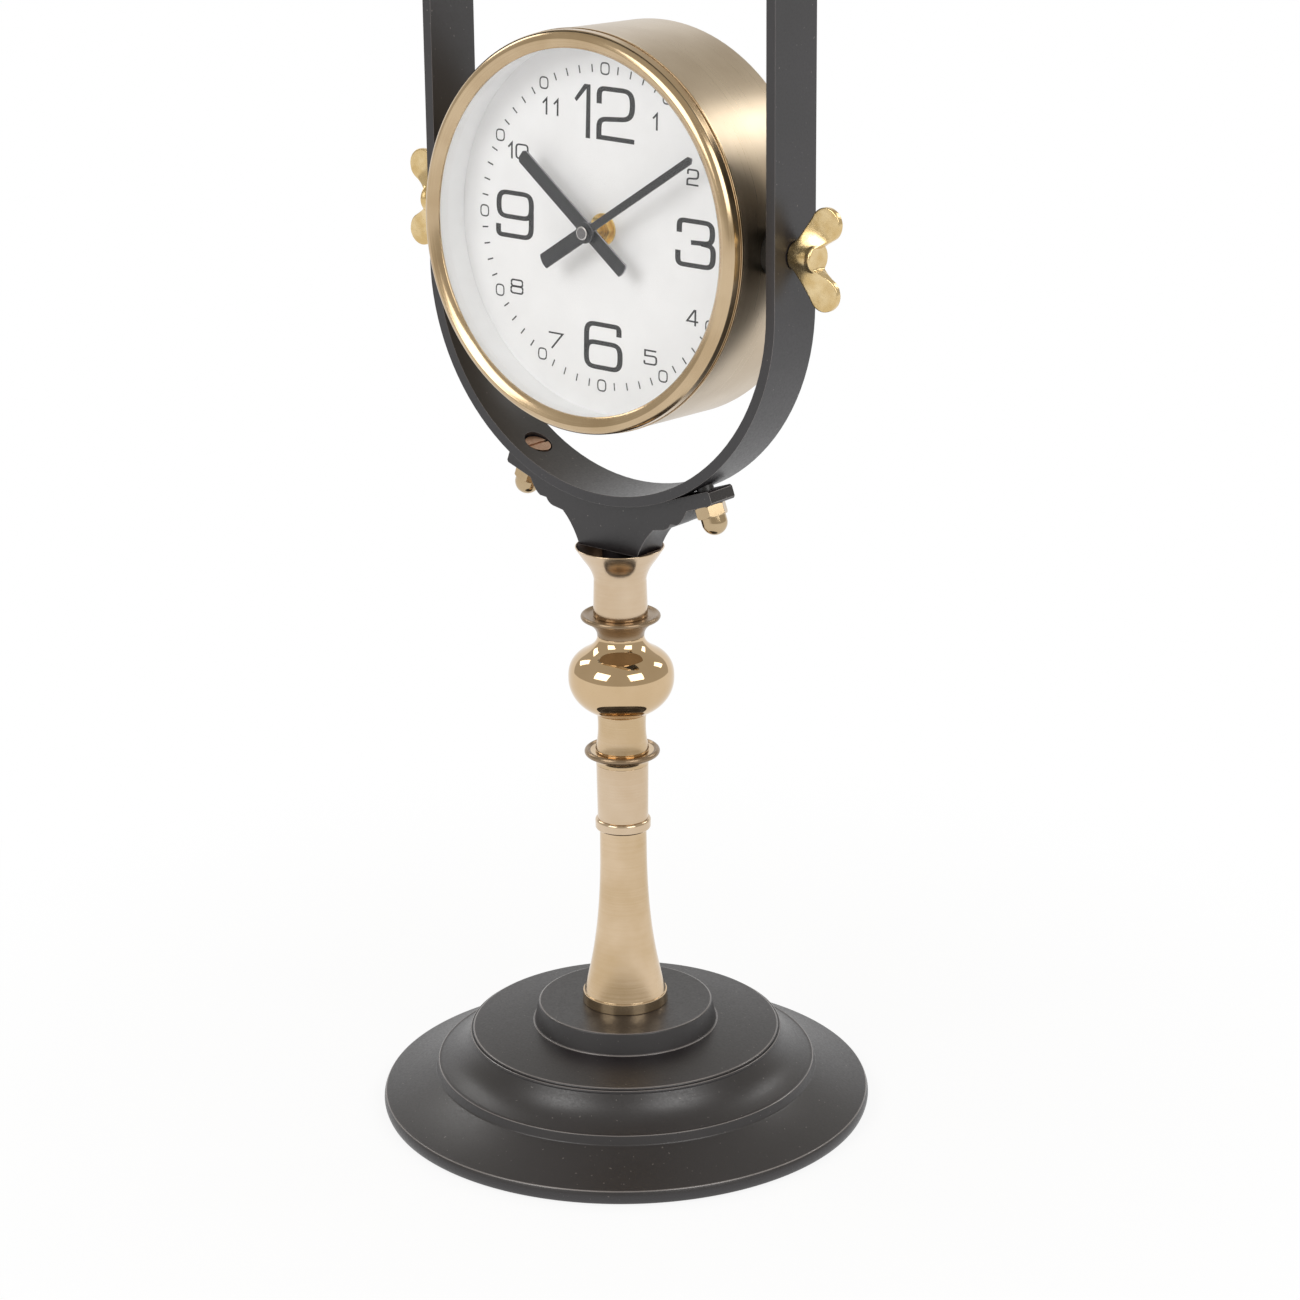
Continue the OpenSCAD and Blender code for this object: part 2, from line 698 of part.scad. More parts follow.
module cup() {
    waist_z = cup_z + cup_waist_rise;
    floor_z = lip_z - cup_floor_drop;
    waist = [cup_waist_r, waist_z];
    flare = [lip_r, lip_z - lip_t / 2] - waist;
    outer = concat(
        [[cup_waist_r + cup_foot - bead_r / 3, cup_z]],
        curve([cup_waist_r + cup_foot, cup_z + bead_r / 2],
            [cup_waist_r + cup_foot / 3, cup_z + cup_waist_rise / 2], waist),
        curve_in(waist, flare, flare_low_shares),
        curve_in(waist, flare, flare_high_shares)
    );
    lip = arc([lip_r - lip_t / 2, lip_z - lip_t / 2], lip_t / 2, 0, 180, 6);
    inner = curve([lip_r - lip_t, lip_z - lip_t / 2], [lip_r - 4 * lip_t, lip_z - 4 * lip_t],
        [cup_floor_r, floor_z]);
    color("#c2a679") column_piece(
        concat([[0, cup_z]], outer, lip, inner, [[cup_floor_r, floor_z], [0, floor_z]]),
        cup_z, lip_z);
}

// Outline of the yoke, seen from the front, with its arched top
module yoke_outline() {
    foot = [yoke_foot_w / 2, yoke_z];
    root = on_screw(flange_bottom, -flange_root);
    side = concat(
        [for (row = yoke_curve_shares) each concat(
            curve_in(foot, root - foot, row, 5), [in_box(foot, root - foot, row[2])])],
        [ on_screw(flange_bottom, flange_reach - bead_r),
            on_screw(flange_bottom - bead_r, flange_reach),
            on_screw(flange_top + bead_r, flange_reach),
            on_screw(flange_top, flange_reach - bead_r)]
    );
    seat_r = loop_out_r + seat_gap;
    // The flange's straight top leaves the arch where its line meets the seat
    line_d = screw_x * sin(flange_slope) - (screw_z - arch_z) * cos(flange_slope) + flange_top;
    leave = flange_slope + acos(min(1, line_d / seat_r));
    top = arc([0, arch_z], seat_r, leave - 90, -leave - 90, 4 * steps);
    polygon(concat(side, top, [[-seat_r * sin(leave), arch_z - seat_r * cos(leave)]],
        mirrored(side)));
}

// Solid along each screw axis, from one station to another
module on_screws(from, r, to) {
    both_sides() translate([screw_x, 0, screw_z]) rotate([0, 180 - flange_slope, 0])
        translate([0, 0, from]) cylinder(r = r, h = to - from);
}

module yoke() {
    spigot_h = cup_floor_drop - yoke_sink;
    color("#3d3838") difference() {
        union() {
            translate([0, yoke_depth / 2, 0]) rotate([90, 0, 0]) linear_extrude(yoke_depth)
                yoke_outline();
            translate([0, 0, yoke_z - spigot_h]) cylinder(r = spigot_r, h = spigot_h + over);
        }
        translate([0, 0, yoke_z - spigot_h - over])
            cylinder(r = rod_bore_r, h = rod_top_z - yoke_z + spigot_h + 2 * over);
        on_screws(0, screw_r + fit_gap, flange_bottom + over);
    }
}

// Stadium outline of the loop: two straight sides and two half circles
module stadium(r) {
    translate([0, arch_z]) circle(r = r);
    translate([0, top_arch_z]) circle(r = r);
    translate([-r, arch_z]) square([2 * r, loop_side]);
}

module loop() {
    color("#3d3838") difference() {
        translate([0, loop_depth / 2, 0]) rotate([90, 0, 0]) linear_extrude(loop_depth)
            difference() {
                stadium(loop_out_r);
                stadium(loop_half_w);
            }
        on_screws(-loop_t, screw_head_r + recess_gap, recess_d);
        on_screws(0, screw_r + fit_gap, flange_top + over);
        translate([-loop_out_r - over, 0, pivot_z]) rotate([0, 90, 0])
            cylinder(r = shank_hole_r, h = 2 * (loop_out_r + over));
    }
}

module yoke_screws() {
    color("#c9a98a") difference() {
        union() {
            on_screws(head_sink, screw_head_r, recess_d);
            on_screws(recess_d - head_t / 2, screw_r, flange_bottom + thread_in - fit_gap);
        }
        both_sides() translate([screw_x, 0, screw_z]) rotate([0, 180 - flange_slope, 0])
            translate([-slot_w / 2, -screw_head_r - over, head_sink - over])
            cube([slot_w, 2 * (screw_head_r + over), slot_d + over]);
    }
}

module dome_nuts() {
    hex_r = dome_af / sqrt(3);
    color("#cdb287") both_sides() translate([screw_x, 0, screw_z])
        rotate([0, 180 - flange_slope, 0]) translate([0, 0, flange_bottom]) difference() {
            union() {
                intersection() {
                    linear_extrude(dome_hex_h) hexagon(dome_af);
                    rotate_extrude() polygon([[0, 0], [hex_r - hex_chamfer, 0], [hex_r, hex_chamfer / 2],
                        [hex_r, dome_hex_h - hex_chamfer], [hex_r - hex_chamfer, dome_hex_h],
                        [0, dome_hex_h]]);
                }
                cylinder(r = dome_r, h = dome_h - dome_r);
                translate([0, 0, dome_h - dome_r]) sphere(r = dome_r);
            }
            translate([0, 0, -over]) cylinder(r = screw_r + fit_gap, h = thread_in + over);
        }
}

module drum() {
    lug_front = cover_y - lug_t;
    color("#c9b48f") clock_frame() difference() {
        union() {
            spun() translate([wall_r, -drum_front]) square([drum_t, drum_front + drum_back]);
            spun() translate([wall_r - ledge_w, dial_back]) square([ledge_w + drum_t / 2, ledge_t]);
            intersection() {
                plate(lug_front, cover_y) cover_points() circle(r = lug_r);
                plate(lug_front, cover_y) circle(r = wall_r + drum_t / 2);
            }
        }
        plate(lug_front - over, cover_y + over) cover_points() circle(r = cover_screw_r + fit_gap);
        translate([-drum_r - over, 0, 0]) rotate([0, 90, 0])
            cylinder(r = shank_hole_r, h = 2 * (drum_r + over));
    }
}

// Places of the rear cover's screws, seen from the front
module cover_points() {
    for (i = [0:cover_screws_n - 1]) rotate(45 + 360 * i / cover_screws_n)
        translate([lug_circle_r, 0]) children();
}

module pivot_bosses() {
    color("#c9b48f") clock_frame() both_sides() difference() {
        intersection() {
            translate([boss_in_x, 0, 0]) rotate([0, 90, 0]) cylinder(r = pivot_boss_r, h = boss_len);
            plate(-drum_front, drum_back) circle(r = wall_r - fit_gap);
        }
        translate([boss_in_x - over, 0, 0]) rotate([0, 90, 0])
            cylinder(r = shank_hole_r, h = boss_len + 2 * over);
    }
}

module pivot_spacers() {
    far = loop_half_w - face_gap;
    color("#2b2a2a") clock_frame() both_sides() difference() {
        translate([wall_r, 0, 0]) rotate([0, 90, 0]) cylinder(r = spacer_r, h = far - wall_r);
        plate(-drum_back, drum_back) circle(r = drum_r + seat_gap);
        translate([wall_r - over, 0, 0]) rotate([0, 90, 0])
            cylinder(r = shank_hole_r, h = far - wall_r + 2 * over);
    }
}

module bezel() {
    rear_y = -drum_front;
    side_y = -bezel_front + bezel_side;
    bead_y = rear_y - rear_bead;
    seat_r = wall_r - fit_gap;
    section = concat(
        [[bezel_open_r, glass_y], [bezel_open_r, glass_y - lip_back]],
        curve([bezel_open_r, glass_y - lip_back],
            [bezel_open_r + crown_in / 3, -bezel_front + bead_r],
            [bezel_open_r + crown_in, -bezel_front]),
        curve([bezel_open_r + crown_in, -bezel_front], [drum_r - bead_r, -bezel_front + bead_r / 2],
            [drum_r, side_y]),
        [[drum_r, bead_y - groove_w], [drum_r - groove_d, bead_y - groove_w],
            [drum_r - groove_d, bead_y], [drum_r + groove_d / 2, bead_y],
            [drum_r + groove_d / 2, rear_y], [seat_r, rear_y],
            [seat_r, glass_y]]
    );
    color("#b8985f") clock_frame() spun() polygon(section);
}

module glass() {
    color([0.9, 0.95, 0.95, 0.35]) clock_frame() plate(glass_y, glass_back) circle(r = inner_r);
}

module white_ring() {
    color("white") clock_frame() spun()
        translate([dial_view_r, glass_back])
        square([white_ring_t, glass_rise]);
}

module dial() {
    color("#f0f0ee") clock_frame() plate(-dial_front, dial_back) difference() {
        circle(r = inner_r);
        circle(r = bush_r + fit_gap);
    }
}

module rear_cover() {
    color("#c9b48f") clock_frame() plate(cover_y, cover_y + cover_t) difference() {
        circle(r = inner_r);
        circle(r = access_r);
        cover_points() circle(r = cover_screw_r + fit_gap);
    }
}

module cover_screws() {
    head_y = cover_y + cover_t;
    color("#c9b48f") clock_frame() difference() {
        union() {
            plate(cover_y - lug_t + face_gap, head_y) cover_points() circle(r = cover_screw_r);
            plate(head_y, head_y + cover_head_h) cover_points() circle(r = cover_head_r);
        }
        plate(head_y + cover_head_h / 2, head_y + cover_head_h + over) cover_points()
            square([2 * (cover_head_r + over), cover_head_h / 2], center = true);
    }
}

// Square outline of the movement, with its corners cut
module move_outline() {
    corner_cut = 2 * move_wall;
    intersection() {
        square(move_side, center = true);
        rotate(45) square(sqrt(2) * (move_side - corner_cut), center = true);
    }
}

// Hollow for the battery, from its floor in the case out through the cover
module battery_bay() {
    plate(move_back - bay_h, move_back + over) translate([0, bay_z])
        square([bay_w, bay_h], center = true);
}

// Outline of the gear chamber: a round for each wheel, joined
module chamber_outline() {
    minute_r = train_m * (minute_teeth / 2 + 2);
    circle(r = chamber_r);
    translate([0, train_d]) circle(r = minute_r);
    translate([0, setting_d]) circle(r = train_m * cannon_teeth);
}

module movement_case() {
    color("#262626") clock_frame() difference() {
        plate(move_y, split_y) move_outline();
        plate(move_y + move_wall, split_y + over) chamber_outline();
        plate(move_y - over, split_y + over) circle(r = bush_r + fit_gap);
        plate(move_y + move_wall - pivot_hole, split_y + over) translate([0, train_d])
            circle(r = pivot_pin_r + run_gap);
        battery_bay();
    }
}

module movement_cover() {
    color("#262626") clock_frame() difference() {
        plate(split_y, move_back) move_outline();
        plate(split_y - over, split_y + pivot_hole) circle(r = pivot_pin_r + run_gap);
        plate(split_y - over, split_y + pivot_hole) translate([0, train_d])
            circle(r = pivot_pin_r + run_gap);
        plate(split_y - over, move_back + over) translate([0, setting_d])
            circle(r = knob_stem_r + run_gap);
        battery_bay();
    }
}

module movement_gasket() {
    color("#2b2a2a") clock_frame() plate(dial_back, move_y) difference() {
        circle(r = gasket_r);
        circle(r = bush_r + fit_gap);
    }
}

module hand_bush() {
    color("#c8a24c") clock_frame() plate(bush_front, move_y + move_wall) difference() {
        circle(r = bush_r);
        circle(r = hour_tube_r + run_gap);
    }
}

module dial_washer() {
    color("#d0a040") clock_frame() plate(-dial_front - dial_washer_t, -dial_front) difference() {
        circle(r = dial_washer_r);
        circle(r = bush_r + fit_gap);
    }
}

module dial_nut() {
    back = -dial_front - dial_washer_t;
    color("#d0a040") clock_frame() plate(back - dial_nut_h, back) difference() {
        hexagon(dial_nut_af);
        circle(r = bush_r + fit_gap);
    }
}

module battery() {
    color("#33506b") clock_frame() translate([-cell_len / 2, cell_y, bay_z]) rotate([0, 90, 0]) {
        cylinder(r = cell_r, h = cell_len - cell_nub_l);
        cylinder(r = cell_nub_r, h = cell_len);
    }
}

module battery_contacts() {
    color("silver") clock_frame() both_sides()
        translate([bay_w / 2 - contact_t, cell_y, bay_z]) rotate([0, 90, 0])
        cylinder(r = contact_r, h = contact_t);
}

module cannon_pinion() {
    color("#c8a24c") clock_frame() {
        plate(minute_gear_y, minute_gear_y + gear_t) rotate(90) gear_outline(cannon_teeth, train_m);
        plate(cap_y + cap_skirt, minute_gear_y) circle(r = arbor_r);
        plate(minute_gear_y + gear_t, split_y - face_gap) circle(r = arbor_r);
        plate(split_y - face_gap, split_y + pivot_pin_l) circle(r = pivot_pin_r);
    }
}

// Outline of a hand that points up: a blade with a cut tip, and a wider or equal tail
module hand_outline(tip, tail, blade, boss, bore) {
    difference() {
        union() {
            polygon(concat(
                [[-tail_w / 2, 0]],
                curve([-tail_w / 2, tail_cut - tail], [0, -tail - tail_cut],
                    [tail_w / 2, tail_cut - tail], 6),
                [[tail_w / 2, tail_cut - tail], [tail_w / 2, 0]]
            ));
            polygon([
                [blade / 2, 0], [blade / 2, tip - tip_cut], [blade / 2 - tip_cut, tip],
                [tip_cut - blade / 2, tip], [-blade / 2, tip - tip_cut], [-blade / 2, 0]
            ]);
            circle(r = boss);
        }
        circle(r = bore);
    }
}

module minute_hand() {
    color("#26262a") clock_frame() rotate([0, minute_angle, 0]) {
        plate(minute_y, minute_y + hand_t)
            hand_outline(minute_len, minute_tail, blade_w, minute_boss_r, arbor_r + fit_gap);
        plate(minute_y - boss_step, minute_y) difference() {
            circle(r = minute_boss_r);
            circle(r = arbor_r + fit_gap);
        }
    }
}

module hub_cap() {
    edge = cap_skirt / 2;
    seat_y = minute_y - boss_step;
    color("#4a4a4c") clock_frame() difference() {
        spun() polygon(concat(
            [[0, seat_y], [cap_r, seat_y]],
            arc([cap_r - edge, cap_y + edge], edge, 0, -90, 5),
            [[cap_r - edge, cap_y], [0, cap_y]]
        ));
        plate(cap_y + cap_skirt, seat_y + over) circle(r = arbor_r + fit_gap);
    }
}

module hour_wheel() {
    color("#c8a24c") clock_frame() difference() {
        union() {
            plate(hour_gear_y, hour_gear_y + gear_t) rotate(90 + 180 / hour_teeth)
                gear_outline(hour_teeth, hour_m);
            plate(hour_y, hour_gear_y) circle(r = hour_tube_r);
        }
        plate(hour_y - over, hour_gear_y + gear_t + over) circle(r = arbor_r + run_gap);
    }
}

module hour_hand() {
    color("#26262a") clock_frame() rotate([0, hour_angle, 0]) {
        plate(hour_y, hour_y + hand_t)
            hand_outline(hour_len, hour_tail, tail_w, hour_boss_r, hour_tube_r + fit_gap);
        plate(hour_y + hand_t, hour_y + hand_t + boss_step) difference() {
            circle(r = hour_boss_r);
            circle(r = hour_tube_r + fit_gap);
        }
    }
}

module minute_wheel() {
    wheel_back = minute_gear_y + gear_t;
    color("#c8a24c") clock_frame() translate([0, 0, train_d]) {
        plate(minute_gear_y, wheel_back) rotate(-90 + 180 / minute_teeth)
            gear_outline(minute_teeth, train_m);
        plate(hour_gear_y, minute_gear_y) rotate(-90) gear_outline(idler_teeth, hour_m);
        plate(move_y + move_wall - pivot_pin_l, hour_gear_y) circle(r = pivot_pin_r);
        plate(wheel_back, split_y + pivot_pin_l) circle(r = pivot_pin_r);
    }
}

module setting_knob() {
    knob_y = move_back + knob_gap;
    color("#262626") clock_frame() translate([0, 0, setting_d]) {
        plate(minute_gear_y, minute_gear_y + gear_t) rotate(-90) gear_outline(cannon_teeth, train_m);
        plate(minute_gear_y + gear_t, knob_y) circle(r = knob_stem_r);
        plate(knob_y, knob_y + knob_t) difference() {
            circle(r = knob_r);
            for (i = [0:knob_flutes - 1]) rotate(360 * i / knob_flutes)
                translate([knob_r, 0]) circle(r = flute_r);
        }
    }
}

// Outline of one wing, across from the hub's inner end and up from the screw's axis
module wing_outline() {
    middle = [hub_len + wing_r / 2, wing_arm];
    foot = [wing_t / 2, hub_in_r * wing_root_share];
    shoulder = [hub_len - wing_t / 2, hub_out_r * wing_foot_share];
    translate(middle) circle(r = wing_r);
    polygon([[wing_t / 2, 0], foot, tangent(foot, middle, wing_r, 1), middle,
        tangent(shoulder, middle, wing_r, -1), shoulder, [hub_len - wing_t / 2, 0]]);
}

// Wing screw on the right, along +X
module wing_screw() {
    shank_in = boss_in_x;
    rotate([0, 90, 0]) {
        translate([0, 0, shank_in]) cylinder(r = shank_r, h = hub_x - shank_in + over);
        translate([0, 0, hub_x]) rotate_extrude() polygon(concat(
            [[0, 0], [hub_in_r - hub_round, 0], [hub_in_r, hub_round]],
            arc([hub_out_r - hub_round, hub_len - hub_round], hub_round, 0, 90, 4),
            [[hub_out_r - hub_round, hub_len], [0, hub_len]]
        ));
    }
    translate([hub_x, wing_t / 2, 0]) rotate([90, 0, 0]) linear_extrude(wing_t) {
        wing_outline();
        mirror([0, 1]) wing_outline();
    }
}

module wing_screw_left() {
    color("#cdb287") clock_frame() mirror([1, 0, 0]) wing_screw();
}

module wing_screw_right() {
    color("#cdb287") clock_frame() wing_screw();
}

base_pad();
base();
base_washer();
base_nut();
tie_rod();
base_collar();
column_foot();
column_ring();
column_tube();
lower_disc();
ball();
upper_disc();
cup();
yoke();
loop();
yoke_screws();
dome_nuts();
drum();
pivot_bosses();
pivot_spacers();
bezel();
glass();
white_ring();
dial();
rear_cover();
cover_screws();
movement_case();
movement_cover();
movement_gasket();
hand_bush();
dial_washer();
dial_nut();
battery();
battery_contacts();
cannon_pinion();
minute_hand();
hub_cap();
hour_wheel();
hour_hand();
minute_wheel();
setting_knob();
wing_screw_left();
wing_screw_right();
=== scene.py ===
# %% [markdown]
# # A drum clock that tilts on a turned column
#
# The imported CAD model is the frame. Its bodies, joints and sizes stay as they are, and this script
# dresses it: each piece keeps the shape that the drawing gives it, gets the soft edges of the real
# one, and then its finish. Sizes are in millimetres, as on a workshop drawing.

# %% Load the frame
import json
import math
import bmesh
import bpy
from mathutils import Matrix, Vector


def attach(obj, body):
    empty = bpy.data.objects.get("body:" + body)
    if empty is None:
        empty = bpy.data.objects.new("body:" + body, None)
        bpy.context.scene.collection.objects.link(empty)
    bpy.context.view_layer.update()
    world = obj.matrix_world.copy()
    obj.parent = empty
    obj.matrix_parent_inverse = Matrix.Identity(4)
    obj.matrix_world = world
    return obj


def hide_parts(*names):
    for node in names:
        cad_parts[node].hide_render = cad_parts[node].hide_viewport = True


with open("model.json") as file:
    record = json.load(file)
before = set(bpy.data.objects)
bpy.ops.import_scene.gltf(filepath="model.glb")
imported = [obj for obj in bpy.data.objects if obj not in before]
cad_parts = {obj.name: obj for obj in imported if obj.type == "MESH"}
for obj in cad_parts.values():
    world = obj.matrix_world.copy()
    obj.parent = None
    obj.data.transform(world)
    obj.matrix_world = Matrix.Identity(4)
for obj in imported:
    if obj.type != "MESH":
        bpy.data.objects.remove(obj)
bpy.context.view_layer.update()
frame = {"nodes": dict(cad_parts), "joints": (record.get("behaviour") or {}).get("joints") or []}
nodes = frame["nodes"]
joints = {joint["name"]: joint for joint in frame["joints"]}
scene = bpy.context.scene

# %% [markdown]
# ## Camera
#
# A render can only be compared with the photograph from the photograph's own place. These values
# were fitted: they put the base, the discs, the bezel and the loop on their places in the picture.
# The camera looks down a little, from the clock's right.

# %% Camera
AZIMUTH, ELEVATION, ROLL = 39.675, 18.471, -0.551
DISTANCE, LOOK_RIGHT, LOOK_UP = 1.62356, 0.013549, 0.22845
SENSOR, FOCAL_PX, PHOTO_PX, NEAREST = 36.0, 3474.78, 1300, 0.05

az, el, roll = (math.radians(angle) for angle in (AZIMUTH, ELEVATION, ROLL))
toward = Vector((math.sin(az) * math.cos(el), -math.cos(az) * math.cos(el), math.sin(el)))
level_right = Vector((math.cos(az), math.sin(az), 0))
level_up = toward.cross(level_right)
right = level_right * math.cos(roll) + level_up * math.sin(roll)
up = level_up * math.cos(roll) - level_right * math.sin(roll)
target = level_right * LOOK_RIGHT + Vector((0, 0, LOOK_UP))
camera = bpy.data.objects.new("camera", bpy.data.cameras.new("camera"))
aim = Matrix((right, up, toward)).transposed().to_4x4()
camera.matrix_world = Matrix.Translation(target + toward * DISTANCE) @ aim
camera.data.sensor_width = SENSOR
camera.data.lens = SENSOR * FOCAL_PX / PHOTO_PX
camera.data.clip_start = NEAREST
scene.collection.objects.link(camera)
scene.camera = camera
print("lens", round(camera.data.lens, 1), "mm, at", tuple(round(v, 2) for v in camera.location))

# %% [markdown]
# ## The two places that pieces are made in
#
# Column pieces turn about the stand's upright axis. Case pieces turn about the clock's own axis,
# which leans back a little. Each piece is worked on in its own place and then moved home in its
# mesh, so its object stays at the origin. CASE has +X to the right, +Z up the dial and -Y towards
# the viewer. CASE_AXIS is the same place with its Z along the clock's axis.

# %% Places
MM = 0.001
PIVOT = Vector(joints["clock_tilt"]["pos_m"])
forward = Vector(joints["minute_spin"]["axis"])
LEAN = math.atan2(forward.z, -forward.y)
STAND = Matrix.Scale(MM, 4)
CASE = Matrix.Translation(PIVOT) @ Matrix.Rotation(-LEAN, 4, "X") @ Matrix.Scale(MM, 4)
CASE_AXIS = CASE @ Matrix.Rotation(math.radians(-90), 4, "X")
print("pivots at", round(PIVOT.z / MM, 1), "mm, leaning back", round(math.degrees(LEAN), 2),
      "degrees")

# %% [markdown]
# ## Reading a half section
#
# A turned piece is known by its half section: the outline on one side of the axis. Two cuts give
# it. The first keeps one half of the node. The second puts vertices on the plane through the axis,
# and the edges that lie in that plane are the section. A walk from edge to edge puts its points in
# order. Points where the line hardly turns are dropped.

# %% Half sections
WELD, CUT, TINY_EDGE = 0.002, 0.0005, 0.003
STRAIGHT = math.radians(0.4)


def angle_at(a, b, c):
    """How much a line turns at b on its way from a to c."""
    u, v = b - a, c - b
    return u.angle(v) if u.length > 0 and v.length > 0 else 0.0


def section(name, place):
    """Half section of a CAD node round the place's Z axis.

    It gives back its (radius, height) points, and whether they close into a ring."""
    bm = bmesh.new()
    bm.from_mesh(nodes[name].data)
    bm.transform(place.inverted())
    bmesh.ops.remove_doubles(bm, verts=bm.verts, dist=WELD)
    for normal, clear in (((1, 0, 0), True), ((0, 1, 0), False)):
        bmesh.ops.bisect_plane(bm, geom=bm.verts[:] + bm.edges[:] + bm.faces[:], dist=CUT,
                               plane_co=(0, 0, 0), plane_no=normal, clear_inner=clear)
    beside = {v: [] for v in bm.verts if abs(v.co.y) < 2 * CUT}
    for edge in bm.edges:
        a, b = edge.verts
        if a in beside and b in beside and edge.calc_length() > TINY_EDGE:
            beside[a].append(b)
            beside[b].append(a)
    beside = {v: around for v, around in beside.items() if around}
    ends = [v for v, around in beside.items() if len(around) == 1]
    chain = [min(ends or beside, key=lambda v: (v.co.z, v.co.x))]
    while True:
        ahead = [v for v in beside[chain[-1]] if v not in chain]
        if not ahead:
            break
        chain.append(ahead[0])
    points = [Vector((v.co.x, v.co.z)) for v in chain]
    bm.free()
    closed, count = not ends, len(points)
    return [p for i, p in enumerate(points)
            if (not closed and i in (0, count - 1))
            or angle_at(points[i - 1], p, points[(i + 1) % count]) > STRAIGHT], closed


outline, closed = section("base", STAND)
print("base section:", len(outline), "points, closed:", closed)

# %% [markdown]
# ## Smoothing a section
#
# The section has few points, which would show as flats on a shiny curve. Where the line turns only
# a little, a spline is laid through the points. It is a Catmull-Rom spline, which passes through
# every point, with each tangent scaled to the step on its side so that it doesn't bulge.

# %% Splines
CORNER = math.radians(33)
SMOOTH_STEP = math.radians(4.5)
LONG_STEP = 2.5


def spline(run):
    """Points on a smooth curve through a run. A long straight stretch stays straight."""
    full = [run[0]]
    for i in range(1, len(run)):
        a, b = run[i - 1], run[i]
        length = (b - a).length
        before = (a - run[i - 2]).length if i > 1 else length
        after = (run[i + 1] - b).length if i < len(run) - 1 else length
        if length > LONG_STEP * before:
            full.append(a + (b - a) * before / length)
        if length > LONG_STEP * after:
            full.append(b - (b - a) * after / length)
        full.append(b)
    out = []
    for i, (a, b) in enumerate(zip(full, full[1:])):
        p = full[i - 1] if i else a * 2 - b
        q = full[i + 2] if i + 2 < len(full) else b * 2 - a
        steps = max(1, math.ceil(max(angle_at(p, a, b), angle_at(a, b, q)) / SMOOTH_STEP))
        ta, tb, tq = (step.length ** 0.5 for step in (a - p, b - a, q - b))
        out_a = (a - p) * (tb / ta) - (b - p) * (tb / (ta + tb)) + (b - a)
        into_b = (b - a) - (q - a) * (tb / (tb + tq)) + (q - b) * (tb / tq)
        for t in (k / steps for k in range(steps)):
            out.append(a * (1 - 3 * t * t + 2 * t ** 3) + out_a * (t - 2 * t * t + t ** 3)
                       + b * (3 * t * t - 2 * t ** 3) + into_b * (t ** 3 - t * t))
    return out + [full[-1]]


arch = [Vector((math.cos(turn), math.sin(turn))) for turn in (0, 0.5, 1, 1.5)]
print("a spline through", len(arch), "points of an arch has", len(spline(arch)))

# %% [markdown]
# ## Softening its corners
#
# No real edge is sharp. Filing, casting and lacquer leave a small radius, and it is this radius
# that catches the light as a thin bright line. So each corner of the section is cut by an arc. Two
# more points close to the arc hold the faces beside it flat when the piece is shaded smooth. A bead
# has no corner, but turns tightly in small steps. Its shoulder stands out and is marked like a
# corner, for the worn edge colour with its painted highlight.

# %% Soft corners
ARC_STEPS, EDGE_SHARE, HOLD = 5, 0.45, 2
BEAD_TURN, BEAD_STEP, SHOULDER = math.radians(12), 0.8, 0.3


def eased(points, closed, soft):
    """A section with splined stretches and rounded corners, and the corners that stand out."""
    count = len(points)
    way_round = sum(a.cross(b) for a, b in zip(points, points[1:] + points[:1]))
    corners = [i for i in range(count) if (closed or 0 < i < count - 1)
               and angle_at(points[i - 1], points[i], points[(i + 1) % count]) > CORNER]
    if closed:
        points = points[corners[0]:] + points[:corners[0] + 1]
        breaks = [i - corners[0] for i in corners] + [count]
    else:
        breaks = [0] + corners + [count - 1]
    chain = []
    for first, last in zip(breaks, breaks[1:]):
        run = spline(points[first:last + 1])
        chain += [(p, i == 0 and (closed or first > 0)) for i, p in enumerate(run[:-1])]
    if not closed:
        chain.append((points[-1], False))
    out, total = [], len(chain)
    outer = [p for a, p, b in zip(points, points[1:], points[2:])
             if angle_at(a, p, b) > BEAD_TURN and max((p - a).length, (b - p).length) < BEAD_STEP
             and (p - a).cross(b - p) * way_round > 0
             and abs(p.y - a.y) < SHOULDER * abs(p.x - a.x)]
    for i, (p, sharp) in enumerate(chain):
        if not sharp:
            out.append(p)
            continue
        before, after = chain[i - 1][0] - p, chain[(i + 1) % total][0] - p
        if before.cross(after) * way_round < 0:
            outer.append(p)
        reach = min(soft, EDGE_SHARE * before.length, EDGE_SHARE * after.length)
        a, b = p + before.normalized() * reach, p + after.normalized() * reach
        if before.length > 2 * HOLD * reach:
            out.append(p + before.normalized() * HOLD * reach)
        for t in (k / ARC_STEPS for k in range(ARC_STEPS + 1)):
            out.append(a * (1 - t) ** 2 + p * 2 * t * (1 - t) + b * t * t)
        if after.length > 2 * HOLD * reach:
            out.append(p + after.normalized() * HOLD * reach)
    return out, outer


print("base section: %d points and %d outer corners" % tuple(map(len, eased(outline, closed, 0.4))))

# %% [markdown]
# ## Turning it
#
# A lathe makes a round piece by turning it against a tool, and Spin does the same to an outline:
# it sweeps the section once round the axis. `use_merge` joins the last step to the first one, and
# merging doubles closes the poles. Faces close to a corner that stands out can get a second
# material: worn finish with a painted highlight, or on some pieces a painted highlight alone. The
# finished piece then rides on its body in the frame.

# %% Turned pieces
WEAR_AND_HIGHLIGHT_REACH = 0.65


def finished(bm, name, body, material, place, replaced=()):
    """Turns a working mesh into a smooth piece that rides on its body."""
    bm.transform(place)
    bmesh.ops.recalc_face_normals(bm, faces=bm.faces)
    mesh = bpy.data.meshes.new(name)
    bm.to_mesh(mesh)
    bm.free()
    mesh.shade_smooth()
    mesh.materials.append(material)
    piece = bpy.data.objects.new(name, mesh)
    scene.collection.objects.link(piece)
    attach(piece, body)
    if replaced:
        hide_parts(*replaced)
    return piece


